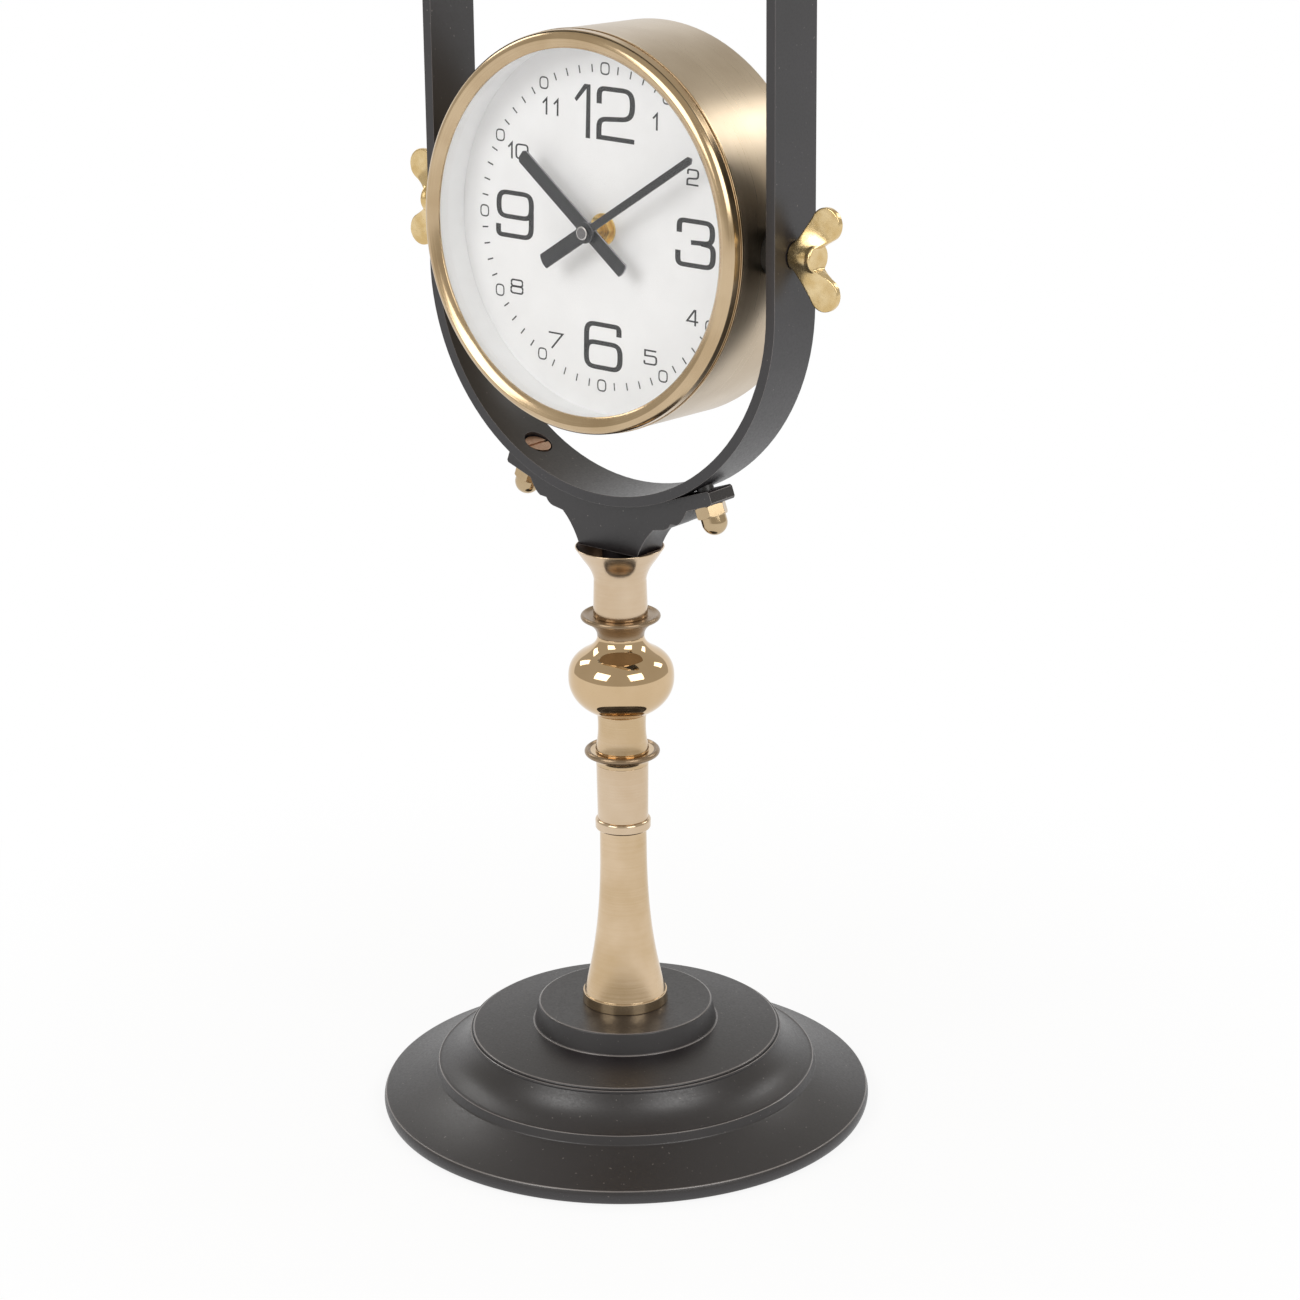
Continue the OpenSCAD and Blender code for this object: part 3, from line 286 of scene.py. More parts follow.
def turned(name, body, place, material, soft, segments, edge_wear_and_highlight=None):
    """A round piece, spun from the eased section of the CAD node that it replaces.

    The last argument is the material of its outer corners: worn finish with a painted highlight,
    or a painted highlight alone."""
    points, closed = section(name, place)
    points, outer = eased(points, closed, soft)
    bm = bmesh.new()
    chain = [bm.verts.new((p.x if p.x > CUT else 0, 0, p.y)) for p in points]
    for a, b in zip(chain, chain[1:] + chain[:1] if closed else chain[1:]):
        bm.edges.new((a, b))
    bmesh.ops.spin(bm, geom=bm.verts[:] + bm.edges[:], cent=(0, 0, 0), axis=(0, 0, 1),
                   dvec=(0, 0, 0), angle=2 * math.pi, steps=segments, use_merge=True)
    bmesh.ops.remove_doubles(bm, verts=bm.verts, dist=CUT)
    for face in bm.faces if edge_wear_and_highlight else ():
        middle = face.calc_center_median()
        spot = Vector((middle.xy.length, middle.z))
        face.material_index = any((spot - corner).length < WEAR_AND_HIGHLIGHT_REACH * soft for corner in outer)
    piece = finished(bm, name + "_turned", body, material, place, [name])
    if edge_wear_and_highlight:
        piece.data.materials.append(edge_wear_and_highlight)
    print(name, len(piece.data.polygons), "faces")
    return piece


# %% [markdown]
# ## Softening what isn't round
#
# Flat and cast pieces keep the drawing's shape. A node's mesh is loose triangles, so a copy is
# merged and its flats are joined. A Bevel modifier then rounds the sharp edges, and Weighted
# Normal keeps the flats flat, so only the rounding catches light.

# %% Softened pieces
EDGE_ANGLE, FLAT_ANGLE = math.radians(30), math.radians(0.6)
BEVEL_STEPS, FLAT_WEIGHT = 3, 80


def merged(name):
    """A working copy of a CAD node in millimetres, with its flats joined."""
    bm = bmesh.new()
    bm.from_mesh(nodes[name].data)
    bm.transform(STAND.inverted())
    bmesh.ops.remove_doubles(bm, verts=bm.verts, dist=WELD)
    bmesh.ops.dissolve_limit(bm, angle_limit=FLAT_ANGLE, verts=bm.verts, edges=bm.edges)
    return bm


def softened(name, body, material, width, edge_wear_and_highlight=None):
    """A milled, bent or moulded piece: its CAD node with rounded edges.

    The last argument is the material of those edges, if they have their own: worn finish with a
    painted highlight, or a painted highlight alone."""
    piece = finished(merged(name), name + "_soft", body, material, STAND, [name])
    bevel = piece.modifiers.new("edges", "BEVEL")
    bevel.limit_method = "ANGLE"
    bevel.angle_limit = EDGE_ANGLE
    bevel.width = width * MM
    bevel.segments = BEVEL_STEPS
    bevel.miter_outer = "MITER_ARC"
    if edge_wear_and_highlight:
        piece.data.materials.append(edge_wear_and_highlight)
        bevel.material = 1
    piece.modifiers.new("flats", "WEIGHTED_NORMAL").weight = FLAT_WEIGHT
    print(name, "edges rounded to", width, "mm")
    return piece


# %% [markdown]
# ## How a finish is built
#
# Each finish is one Principled shader. What is the same all over, such as how metallic it is, is
# set on the shader itself. What varies, such as grain, comes from a few nodes that are linked in.
# They read Object coordinates, because every piece sits at the origin, so neighbours share one
# grain and nothing slides when a body moves. Colours are written as they look on a screen. A noise
# hardly leaves the range from 0.3 to 0.7, and most of it lies nearer the middle, so the finishes
# read it from one of those two ranges. A Mix node has inputs for every kind of value, so they go by
# number: 0 is the share, 2 and 3 are plain numbers, 6 and 7 are colours. Its output 2 is a colour.

# %% Colours and nodes
ALL_NOISE = {"From Min": 0.3, "From Max": 0.7}
MOST_NOISE = {"From Min": 0.35, "From Max": 0.65}


def linear(code):
    """A screen colour such as "#c8ad85" as the linear RGBA that a shader mixes."""
    parts = [int(code[i:i + 2], 16) / 255 for i in (1, 3, 5)]
    return [c / 12.92 if c <= 0.04045 else ((c + 0.055) / 1.055) ** 2.4 for c in parts] + [1.0]


def fill(tree, node, inputs):
    """Links each value that is a socket, and sets each one that is plain."""
    for socket, value in inputs.items():
        if isinstance(value, bpy.types.NodeSocket):
            tree.links.new(value, node.inputs[socket])
        else:
            node.inputs[socket].default_value = linear(value) if isinstance(value, str) else value


def add(tree, kind, inputs=None, out=0, **settings):
    """Adds one node with its settings and links, and gives back one of its outputs."""
    node = tree.nodes.new("ShaderNode" + kind)
    for name, value in settings.items():
        setattr(node, name, value)
    fill(tree, node, inputs or {})
    return node.outputs[out]


def begin(name, metallic, roughness, colour):
    """A new finish: the material, its node tree, its shader and the Object coordinates."""
    made = bpy.data.materials.new(name)
    made.use_nodes = True
    tree = made.node_tree
    shader = tree.nodes["Principled BSDF"]
    fill(tree, shader, {"Metallic": metallic, "Roughness": roughness, "Base Color": colour})
    return made, tree, shader, add(tree, "TexCoord", out="Object")


def per_metre(size):
    """How many features of a size in millimetres fit in a metre: a noise texture's scale."""
    return 1 / (size * MM)


def varied(middle, less, more):
    """Inputs of a range that turn a noise into a value a little less or more than the middle."""
    return {**ALL_NOISE, "To Min": middle - less, "To Max": middle + more}


print("brass on screen #cdb495 is linear", [round(c, 3) for c in linear("#cdb495")])

# %% [markdown]
# ## The lacquered castings
#
# The base and its collar are grey iron castings, turned, sanded and sprayed with brown-black
# lacquer. It is semi-gloss: it mirrors the room softly where it is seen at a slant, and is nearly
# black where it faces the viewer. Sanding marks of about a millimetre show through it. It is a
# little lighter where it ran thin, and a few specks of dust catch the light. Its outer corners are
# painted as thin light grey lines: partly the grey metal where handling has worn the lacquer
# through, partly a painted highlight where the rounded edge catches the light. The base is one
# turned form with a rim, an apron, a band, a cove and two beads, so its section says it all.

# %% Sprayed lacquer
SANDING, THIN_PATCH, DUST = 1.1, 40, 1.6
SHINE, DUST_GREY = 0.8, "#8d8782"


def lacquered(name, deep, thin, roughness, relief):
    """Semi-gloss lacquer over a sanded metal. Relief is the height of the sanding marks in mm."""
    made, tree, shader, place = begin(name, metallic=0.0, roughness=roughness, colour=deep)
    sand = add(tree, "TexNoise", {"Vector": place, "Scale": per_metre(SANDING), "Detail": 3})
    patch = add(tree, "TexNoise", {"Vector": place, "Scale": per_metre(THIN_PATCH), "Detail": 4})
    speck = add(tree, "TexNoise", {"Vector": place, "Scale": per_metre(DUST), "Detail": 1})
    thinness = add(tree, "MapRange", {"Value": patch, **MOST_NOISE})
    tone = add(tree, "Mix", {0: thinness, 6: deep, 7: thin}, 2, data_type="RGBA")
    dust = add(tree, "MapRange", {"Value": speck, "From Min": 0.74, "From Max": 0.8, "To Max": 0.4})
    dusted = add(tree, "Mix", {0: dust, 6: tone, 7: DUST_GREY}, 2, data_type="RGBA")
    gloss = add(tree, "MapRange", {"Value": sand, **varied(roughness, less=0.05, more=0.07)})
    marks = add(tree, "Bump", {"Height": sand, "Distance": relief * MM})
    fill(tree, shader, {"Base Color": dusted, "Roughness": gloss, "Normal": marks,
                        "Specular IOR Level": SHINE})
    return made


cast_lacquer = lacquered("sprayed_lacquer_on_cast_iron", "#120d10", "#191417",
                         roughness=0.37, relief=0.014)
# Worn edge colour that is also a painted highlight: light grey lines on the outer corners.
worn_lacquer_with_painted_highlight = lacquered("lacquer_edge_wear_and_painted_highlight", "#625d5d", "#7b7675",
                           roughness=0.22, relief=0.009)
print("sanding marks:", SANDING, "mm apart, so", round(per_metre(SANDING)), "in a metre")

# %% Base and collar
# Their outer corners get the worn lacquer with its painted highlight.
for name, segments in (("base", 256), ("base_collar", 200)):
    turned(name, "stand", STAND, cast_lacquer, soft=0.5, segments=segments,
           edge_wear_and_highlight=worn_lacquer_with_painted_highlight)

# %% [markdown]
# ## Turned brass
#
# The foot, ring, tube, discs and cup are brass turned on a lathe, rubbed with fine abrasive while
# they spun, and lacquered clear. That leaves rings round the axis which are finer than a hair. They
# blur reflections along the column, so it shows soft upright bands of light. The rings are drawn
# half a millimetre wide, much coarser than they are, or the render would lose them. A slow drift
# keeps any ring from running all the way round. The finer rings of the column, too fine to draw,
# are left to the shader: it stretches its reflections across them. The direction it needs for that
# runs round the stand's axis on a bare mesh. Case pieces turn about another axis, and modifiers
# round the edges of some, so they go without.

# %% Lathe-turned brass
RING, CLOUD, DRIFT, DRIFT_RINGS = 0.5, 26, 60, 3
RING_SHARE, BLENDED_NOISE = 0.2, {"From Min": 0.38, "From Max": 0.62}
STRETCH, QUARTER_TURN = 0.65, 0.25


def lathe_turned(name, light, shade, roughness, relief, in_case=False):
    """Metal with fine rings round the stand's axis, or round the clock's own axis.

    Relief is the height of the rings in mm."""
    made, tree, shader, place = begin(name, metallic=1.0, roughness=roughness, colour=light)
    if in_case:
        turn = (-LEAN - math.pi / 2, 0, 0)
        place = add(tree, "Mapping", {"Vector": place, "Location": PIVOT, "Rotation": turn},
                    vector_type="TEXTURE")
    across = add(tree, "VectorMath", {0: place, 1: (1, 1, 0)}, operation="MULTIPLY")
    radius = add(tree, "VectorMath", {0: across}, "Value", operation="LENGTH")
    along = add(tree, "SeparateXYZ", {0: place}, "Z")
    slow = add(tree, "TexNoise", {"Vector": place, "Scale": per_metre(DRIFT)})
    drift = add(tree, "MapRange", {"Value": slow, "To Max": DRIFT_RINGS * RING * MM})
    spun = add(tree, "CombineXYZ", {0: radius, 1: along, 2: drift})
    rings = add(tree, "TexNoise", {"Vector": spun, "Scale": per_metre(RING), "Detail": 3})
    cloud = add(tree, "TexNoise", {"Vector": place, "Scale": per_metre(CLOUD), "Detail": 3})
    both = add(tree, "Mix", {0: RING_SHARE, 2: cloud, 3: rings})
    tone = add(tree, "MapRange", {"Value": both, **BLENDED_NOISE})
    colour = add(tree, "Mix", {0: tone, 6: shade, 7: light}, 2, data_type="RGBA")
    gloss = add(tree, "MapRange", {"Value": rings, **varied(roughness, less=0.03, more=0.03)})
    marks = add(tree, "Bump", {"Height": rings, "Distance": relief * MM})
    fill(tree, shader, {"Base Color": colour, "Roughness": gloss, "Normal": marks})
    if not in_case:
        round_stand = add(tree, "Tangent", direction_type="RADIAL", axis="Z")
        fill(tree, shader, {"Tangent": round_stand, "Anisotropic": STRETCH,
                            "Anisotropic Rotation": QUARTER_TURN})
    return made


satin_brass = lathe_turned("lathe_turned_brass", "#d6c1a7", "#cbb395",
                           roughness=0.16, relief=0.0003)
foot_brass = lathe_turned("abrasive_rubbed_brass", "#d6be9f", "#c7ad88",
                          roughness=0.14, relief=0.0004)
disc_brass = lathe_turned("coarse_turned_brass", "#9f8b73", "#8e7961",
                          roughness=0.33, relief=0.0005)
print("rings:", RING, "mm wide, reflections stretched by", STRETCH)

# %% Column
NECK_R = 14

column = {}
for name, metal, soft, segments in (
        ("column_foot", foot_brass, 0.3, 160), ("column_ring", satin_brass, 0.25, 128),
        ("column_tube", satin_brass, 0.15, 128), ("lower_disc", disc_brass, 0.2, 128),
        ("upper_disc", disc_brass, 0.2, 128), ("cup", satin_brass, 0.2, 160)):
    column[name] = turned(name, "stand", STAND, metal, soft, segments)
column["lower_disc"].data.materials.append(foot_brass)
for face in column["lower_disc"].data.polygons:
    face.material_index = face.center.xy.length < NECK_R * MM

# %% [markdown]
# ## Inside the cup
#
# Inside, the cup is drawn in a darker, browner brass that is rough and dull. It is the same
# piece, so only its inner faces get that finish: those that look towards the axis, and the floor
# that looks up between them.

# %% Darker brass inside the cup
INWARD, UPWARD, CUP_FLOOR_R = -0.05, 0.9, 15

# Darker, browner, rougher brass on the cup's inner faces.
darker_brass_in_cup = lathe_turned("darker_brass_inside_cup", "#6d5643", "#3e3027", roughness=0.55, relief=0.004)
cup = column["cup"].data
cup.materials.append(darker_brass_in_cup)
for face in cup.polygons:
    inner = face.normal.xy.dot(face.center.xy.normalized()) < INWARD
    lowest = face.normal.z > UPWARD and face.center.xy.length < CUP_FLOOR_R * MM
    face.material_index = inner or lowest
print("raw faces:", sum(face.material_index for face in cup.polygons))

# %% [markdown]
# ## The ball
#
# The ball is the same brass, but buffed on a cloth wheel until it is almost a mirror. What is left
# of the wheel is a faint wave and a haze that comes and goes. It mirrors the lamps and the dimmer
# room above, and the white floor below.

# %% Buffed brass
BUFF_WAVE, HAZE, TARNISH = 11, 2.4, 22


def buffed(name, light, shade, roughness, wave):
    """Polished metal. Wave is the height of the buffing wheel's waves in mm."""
    made, tree, shader, place = begin(name, metallic=1.0, roughness=roughness, colour=light)
    cloud = add(tree, "TexNoise", {"Vector": place, "Scale": per_metre(TARNISH), "Detail": 4})
    haze = add(tree, "TexNoise", {"Vector": place, "Scale": per_metre(HAZE), "Detail": 3})
    swell = add(tree, "TexNoise", {"Vector": place, "Scale": per_metre(BUFF_WAVE)})
    tone = add(tree, "MapRange", {"Value": cloud, "From Min": 0.35, "From Max": 0.7})
    colour = add(tree, "Mix", {0: tone, 6: shade, 7: light}, 2, data_type="RGBA")
    gloss = add(tree, "MapRange", {"Value": haze, "From Min": 0.3, "From Max": 0.75,
                                   "To Min": roughness * 0.7, "To Max": roughness * 1.7})
    waves = add(tree, "Bump", {"Height": swell, "Distance": wave * MM})
    fill(tree, shader, {"Base Color": colour, "Roughness": gloss, "Normal": waves})
    return made


ball_brass = buffed("buffed_brass", "#d3b996", "#cbb08b", roughness=0.04, wave=0.01)
turned("ball", "stand", STAND, ball_brass, soft=0.2, segments=160)

# %% [markdown]
# ## Yoke, loop and their fasteners
#
# The yoke is a flat casting with a waisted outline and two sloping flanges. The loop is a flat
# steel bar, rolled hot into a stirrup, so its edges are round and its lacquer lies on mill scale, a
# little rougher than on the castings. Two slotted screws of reddish brass sit sunk in the bar, and
# two dome nuts hold them from below. All of them keep their shape, so they are only softened. The
# rounded edges of yoke and loop get the worn lacquer with its painted highlight. The screws' brass
# shanks, between bar and flange, get the bar's black lacquer as painted shade for the shadow there.
# They are the part of a screw that lies far enough from the pivot.

# %% Yoke and loop
SHADED_SHANK_FROM = 124

bar_lacquer = lacquered("sprayed_lacquer_on_flat_bar", "#151216", "#1d191e",
                        roughness=0.38, relief=0.012)
screw_brass = buffed("red_brass", "#c9a78f", "#b8947c", roughness=0.36, wave=0.002)
nut_brass = buffed("tumbled_bright_brass", "#c6b190", "#b39c7a", roughness=0.12, wave=0.012)
# Yoke and loop edges get the worn lacquer with its painted highlight.
softened("yoke", "stand", cast_lacquer, width=0.5, edge_wear_and_highlight=worn_lacquer_with_painted_highlight)
softened("loop", "stand", bar_lacquer, width=0.4, edge_wear_and_highlight=worn_lacquer_with_painted_highlight)
screws = softened("yoke_screws", "stand", screw_brass, width=0.1)
# Painted shade: the brass shanks take the black bar lacquer where they lie in shadow.
screws.data.materials.append(bar_lacquer)
for face in screws.data.polygons:
    face.material_index = (face.center - PIVOT).xz.length > SHADED_SHANK_FROM * MM
softened("dome_nuts", "stand", nut_brass, width=0.25)

# %% [markdown]
# ## Case band, back and bezel
#
# The drum is a rolled brass band in a pale champagne plating, brushed round and round, so it is
# almost smooth. The bezel is turned from thicker brass and lacquered darker, with fine grooves that
# hold the light as bright arcs. Both finishes run round the clock's own axis, which leans.

# %% Drum, rear cover and bezel
champagne = lathe_turned("champagne_plated_band", "#cbbba4", "#c0af97",
                         roughness=0.3, relief=0.0004, in_case=True)
bezel_brass = lathe_turned("dark_lacquered_turned_brass", "#cbb493", "#bca482",
                           roughness=0.18, relief=0.0004, in_case=True)
softened("drum", "clock_head", champagne, width=0.2)
softened("rear_cover", "clock_head", champagne, width=0.2)
turned("bezel", "clock_head", CASE_AXIS, bezel_brass, soft=0.25, segments=256)

# %% [markdown]
# ## Moulded and painted pieces
#
# The white wall under the glass, the spacers and the movement's case are injection moulded. A mould
# gives them a fine matt skin, which breaks up the gloss. The dial is aluminium sheet with sprayed
# white enamel, and the hands are stamped steel in thin black lacquer. Spray leaves the same kind of
# skin, only finer, so one recipe serves, with the size of its skin in millimetres.

# %% Moulded skin and sprayed enamel
FLOW = 17


def skinned(name, light, shade, roughness, skin, relief):
    """A moulded or sprayed surface. Skin is how wide its texture is in mm, and relief how high."""
    made, tree, shader, place = begin(name, metallic=0.0, roughness=roughness, colour=light)
    fine = add(tree, "TexNoise", {"Vector": place, "Scale": per_metre(skin), "Detail": 3})
    flow = add(tree, "TexNoise", {"Vector": place, "Scale": per_metre(FLOW), "Detail": 3})
    tone = add(tree, "MapRange", {"Value": flow, **MOST_NOISE})
    colour = add(tree, "Mix", {0: tone, 6: shade, 7: light}, 2, data_type="RGBA")
    gloss = add(tree, "MapRange", {"Value": fine, **varied(roughness, less=0.06, more=0.08)})
    bumps = add(tree, "Bump", {"Height": fine, "Distance": relief * MM})
    fill(tree, shader, {"Base Color": colour, "Roughness": gloss, "Normal": bumps})
    return made


white_abs = skinned("white_moulded_abs", "#f6f7f8", "#f2f3f4",
                    roughness=0.6, skin=1.1, relief=0.004)
enamel = skinned("white_dial_enamel", "#f6f7f9", "#f3f4f6",
                 roughness=0.66, skin=0.5, relief=0.002)
nylon = skinned("black_moulded_nylon", "#1a1a1b", "#101010",
                roughness=0.42, skin=0.9, relief=0.01)
black_abs = skinned("black_moulded_abs", "#1b1b1d", "#0f0f10",
                    roughness=0.5, skin=1.1, relief=0.02)
rubber = skinned("black_rubber", "#202020", "#151515", roughness=0.75, skin=0.9, relief=0.01)
hand_lacquer = skinned("thin_black_hand_lacquer", "#1c1c20", "#17171a",
                       roughness=0.34, skin=0.8, relief=0.004)
print("flow marks:", FLOW, "mm apart, so", round(per_metre(FLOW)), "in a metre")

# %% White wall, spacers and movement
turned("white_ring", "clock_head", CASE_AXIS, white_abs, soft=0.25, segments=256)
softened("pivot_spacers", "clock_head", nylon, width=0.25)
softened("movement_case", "clock_head", black_abs, width=0.5)
softened("movement_cover", "clock_head", black_abs, width=0.5)
softened("setting_knob", "setting", black_abs, width=0.2)

# %% [markdown]
# ## Hands, cap and the gold washer
#
# The hands are thin stampings. Their edges are broken by a quarter of a millimetre, and there a
# light grey is painted on as a highlight. The round cap that presses on the minute hand is turned
# metal, blackened, with a painted highlight of bright metal at its rims. The washer and nut that
# clamp the movement are gilt, and show as a gold ring round the cap.

# %% Hands and centre
HAND_EDGE = 0.28

cap_metal = buffed("blackened_turned_metal", "#8f8c8b", "#6b6868", roughness=0.2, wave=0.003)
# Painted highlight: bright metal on the cap's rims.
cap_edge_highlight = buffed("painted_highlight_cap_edge_metal", "#d6d2cf", "#c2bebb", roughness=0.2, wave=0.002)
# Painted highlight: light grey on the hands' edges.
hand_rim_highlight = skinned("painted_highlight_on_hand_rims", "#bdbdc2", "#acacb2",
                    roughness=0.3, skin=0.8, relief=0.004)
gilt = buffed("gilt_brass", "#f6dc9c", "#ecc97c", roughness=0.34, wave=0.002)
softened("hour_hand", "hour", hand_lacquer, HAND_EDGE, hand_rim_highlight)
softened("minute_hand", "minute", hand_lacquer, HAND_EDGE, hand_rim_highlight)
softened("dial_nut", "clock_head", gilt, width=0.25)
turned("hub_cap", "minute", CASE_AXIS, cap_metal, soft=0.5, segments=96,
       edge_wear_and_highlight=cap_edge_highlight)
turned("dial_washer", "clock_head", CASE_AXIS, gilt, soft=0.2, segments=96)

# %% [markdown]
# ## Wing screws
#
# Each wing screw is one brass casting that was tumbled with stones. The pour left slow swells in
# it, the stones small pits, and its shine comes and goes between them.

# %% Tumbled cast brass
TUMBLING, POUR = 0.8, 6

cast_brass, tree, shader, place = begin("tumbled_cast_brass", metallic=1.0, roughness=0.22,
                                        colour="#dcc18e")
pits = add(tree, "TexNoise", {"Vector": place, "Scale": per_metre(TUMBLING), "Detail": 3})
pour = add(tree, "TexNoise", {"Vector": place, "Scale": per_metre(POUR), "Detail": 3})
tone = add(tree, "MapRange", {"Value": pour, **MOST_NOISE})
colour = add(tree, "Mix", {0: tone, 6: "#d3b680", 7: "#e4cc9d"}, 2, data_type="RGBA")
gloss = add(tree, "MapRange", {"Value": pits, **ALL_NOISE, "To Min": 0.16, "To Max": 0.3})
swells = add(tree, "Bump", {"Height": pour, "Distance": 0.02 * MM})
pitted = add(tree, "Bump", {"Height": pits, "Distance": 0.004 * MM,
                            "Normal": swells})
fill(tree, shader, {"Base Color": colour, "Roughness": gloss, "Normal": pitted})
print("pits", TUMBLING, "mm wide on swells", POUR, "mm wide")

# %% [markdown]
# ## Stout arms
#
# A wing screw has a stout hub and two round paddles on arms. The arms are wedges: as thick as the
# hub where they leave it, and as thin as the paddles at their ends. An arm is a grid that is
# extruded once. Its points are then moved to their places between the arm's outer and inner edge,
# and apart by its thickness there. The hub starts some way out from the clock's middle. The edges
# are measured from there: how far along the screw, and how far from its axis.

# %% Hub and wedges
HUB_FROM, HUB_LONG, HUB_R = 101.5, 12.4, 6.5
OUTER_EDGE, INNER_EDGE = ((0.8, 4), (9.8, 19.1)), ((11.5, 4), (19.8, 8.7))
ARM_EDGES = [(Vector(a), Vector(b)) for a, b in (OUTER_EDGE, INNER_EDGE)]
ROOT_HALF, PADDLE_HALF, WEDGE_POWER = 5.2, 1.5, 1.6


def stout(bm, out):
    """Adds a stout hub and wedge arms. Out is 1 for the right screw and -1 for the left one."""
    home = STAND.inverted() @ CASE
    middle = Matrix.Translation((out * (HUB_FROM + HUB_LONG / 2), 0, 0))
    hub = middle @ Matrix.Rotation(math.pi / 2, 4, "Y")
    bmesh.ops.create_cone(bm, cap_ends=True, segments=64, radius1=HUB_R, radius2=HUB_R,
                          depth=HUB_LONG, matrix=home @ hub)
    for up_down in (1, -1):
        front = bmesh.ops.create_grid(bm, x_segments=6, y_segments=12, size=0.5)["verts"]
        faces = list({face for v in front for face in v.link_faces})
        made = bmesh.ops.extrude_face_region(bm, geom=faces, use_keep_orig=True)["geom"]
        back = [v for v in made if isinstance(v, bmesh.types.BMVert)]
        for v, side in [(v, -1) for v in front] + [(v, 1) for v in back]:
            u, t = v.co.x + 0.5, v.co.y + 0.5
            outer, inner = (a.lerp(b, t) for a, b in ARM_EDGES)
            spot = outer.lerp(inner, u)
            half = PADDLE_HALF + (ROOT_HALF - PADDLE_HALF) * (1 - t) ** WEDGE_POWER
            v.co = home @ Vector((out * (HUB_FROM + spot.x), side * half, up_down * spot.y))
    return bm


print("an arm goes from", 2 * ROOT_HALF, "to", 2 * PADDLE_HALF, "mm thick")

# %% [markdown]
# ## Melting the joints
#
# In a casting the joints melt into each other, which no bevel on hard corners can give. So each
# screw is filled with small voxels, and some rounds of smoothing let its joints flow.

# %% Wing screws
WING_VOXEL, WING_SMOOTH, SMOOTH_SHARE = 0.26, 14, 0.5

for side, out in (("left", -1), ("right", 1)):
    name = "wing_screw_" + side
    piece = finished(stout(merged(name), out), name + "_cast", "wing_" + side, cast_brass,
                     STAND, [name])
    fill_in = piece.modifiers.new("fill", "REMESH")
    fill_in.mode, fill_in.voxel_size, fill_in.use_smooth_shade = "VOXEL", WING_VOXEL * MM, True
    melt = piece.modifiers.new("melt", "SMOOTH")
    melt.factor, melt.iterations = SMOOTH_SHARE, WING_SMOOTH
    print(name, "filled with voxels of", WING_VOXEL, "mm")

# %% [markdown]
# ## Print of the dial
#
# The numerals are plain generic ones, drawn as a sign writer does: a centre line with rounded
# corners, and a nib that is wider across than up and down. The nib is one edge. Extruding it from
# point to point, each time moved to where the stroke turns, paints the stroke. Thickness comes
# last: real print is a raised film of ink, so all of it is extruded together off the enamel.

# %% Rounded centre lines
ROUND_STEPS, ROUND_PULL = 7, 1.25


def rounded(path, closed):
    """A path of (x, z) or (x, z, corner radius) as plain points, with its corners rounded."""
    points = [Vector(p[:2]) for p in path]
    out, count = [], len(points)
    for i, p in enumerate(points):
        if len(path[i]) < 3 or (not closed and i in (0, count - 1)):
            out.append(p)
            continue
        to_last, to_next = points[i - 1] - p, points[(i + 1) % count] - p
        reach = min(path[i][2], to_last.length / 2, to_next.length / 2)
        a, b = p + to_last.normalized() * reach, p + to_next.normalized() * reach
        for t in (k / ROUND_STEPS for k in range(ROUND_STEPS + 1)):
            pull = ROUND_PULL * 2 * t * (1 - t)
            out.append((a * (1 - t) ** 2 + p * pull + b * t * t) / ((1 - t) ** 2 + pull + t * t))
    return out


bend = rounded([(0, 0), (0, 5, 2), (5, 5)], False)
print("a line with one rounded corner has", len(bend), "points")

# %% Pen strokes
STRAIGHT_ON = 0.02


def nibs(points, pen, closed):
    """Half the nib at each point, turned so that both edges of the stroke run along its path."""
    count = len(points)

    def half(i, j):
        step = (points[j] - points[i]).normalized()
        return Vector((-step.y * pen[0], step.x * pen[1]))

    for i in range(count):
        last, ahead = (i - 1) % count, (i + 1) % count
        if not closed and i in (0, count - 1):
            yield half(0, 1) if i == 0 else half(count - 2, count - 1)
            continue
        a, b = half(last, i), half(i, ahead)
        u, v = points[i] - points[last], points[ahead] - points[i]
        if abs(u.cross(v)) > STRAIGHT_ON * u.length * v.length:
            yield a + u * ((b - a).cross(v) / u.cross(v))
        else:
            yield (a + b) / 2


def stroke(bm, path, pen, closed=False):
    """Paints a pen stroke on a flat working mesh."""
    points = rounded(path, closed)
    places = [[Vector((p.x, 0, p.y)) for p in (point + half, point - half)]
              for point, half in zip(points, nibs(points, pen, closed))]
    here = places[0]
    nib = bm.edges.new([bm.verts.new(p) for p in here])
    for there in places[1:] + places[:1] * closed:
        made = bmesh.ops.extrude_edge_only(bm, edges=[nib])["geom"]
        ends = sorted((v for v in made if isinstance(v, bmesh.types.BMVert)),
                      key=lambda v: (v.co - here[0]).length)
        for v, place in zip(ends, there):
            v.co = place
        nib, here = bm.edges.get(ends), there


# %% Numerals
BIG_PEN, SMALL_PEN, TRACK_PEN = (1.5, 1.05), (0.5, 0.38), (0.33, 0.33)


def box_loop(x0, x1, z0, z1, r):
    """Closed path round a box with rounded corners."""
    return [(x0, z1, r), (x1, z1, r), (x1, z0, r), (x0, z0, r)]


def small_one(x, top):
    """Path of a small 1: its flag and its stem."""
    return [(x - 2.2, top - 2.1), (x, top), (x, top - 7.2)]


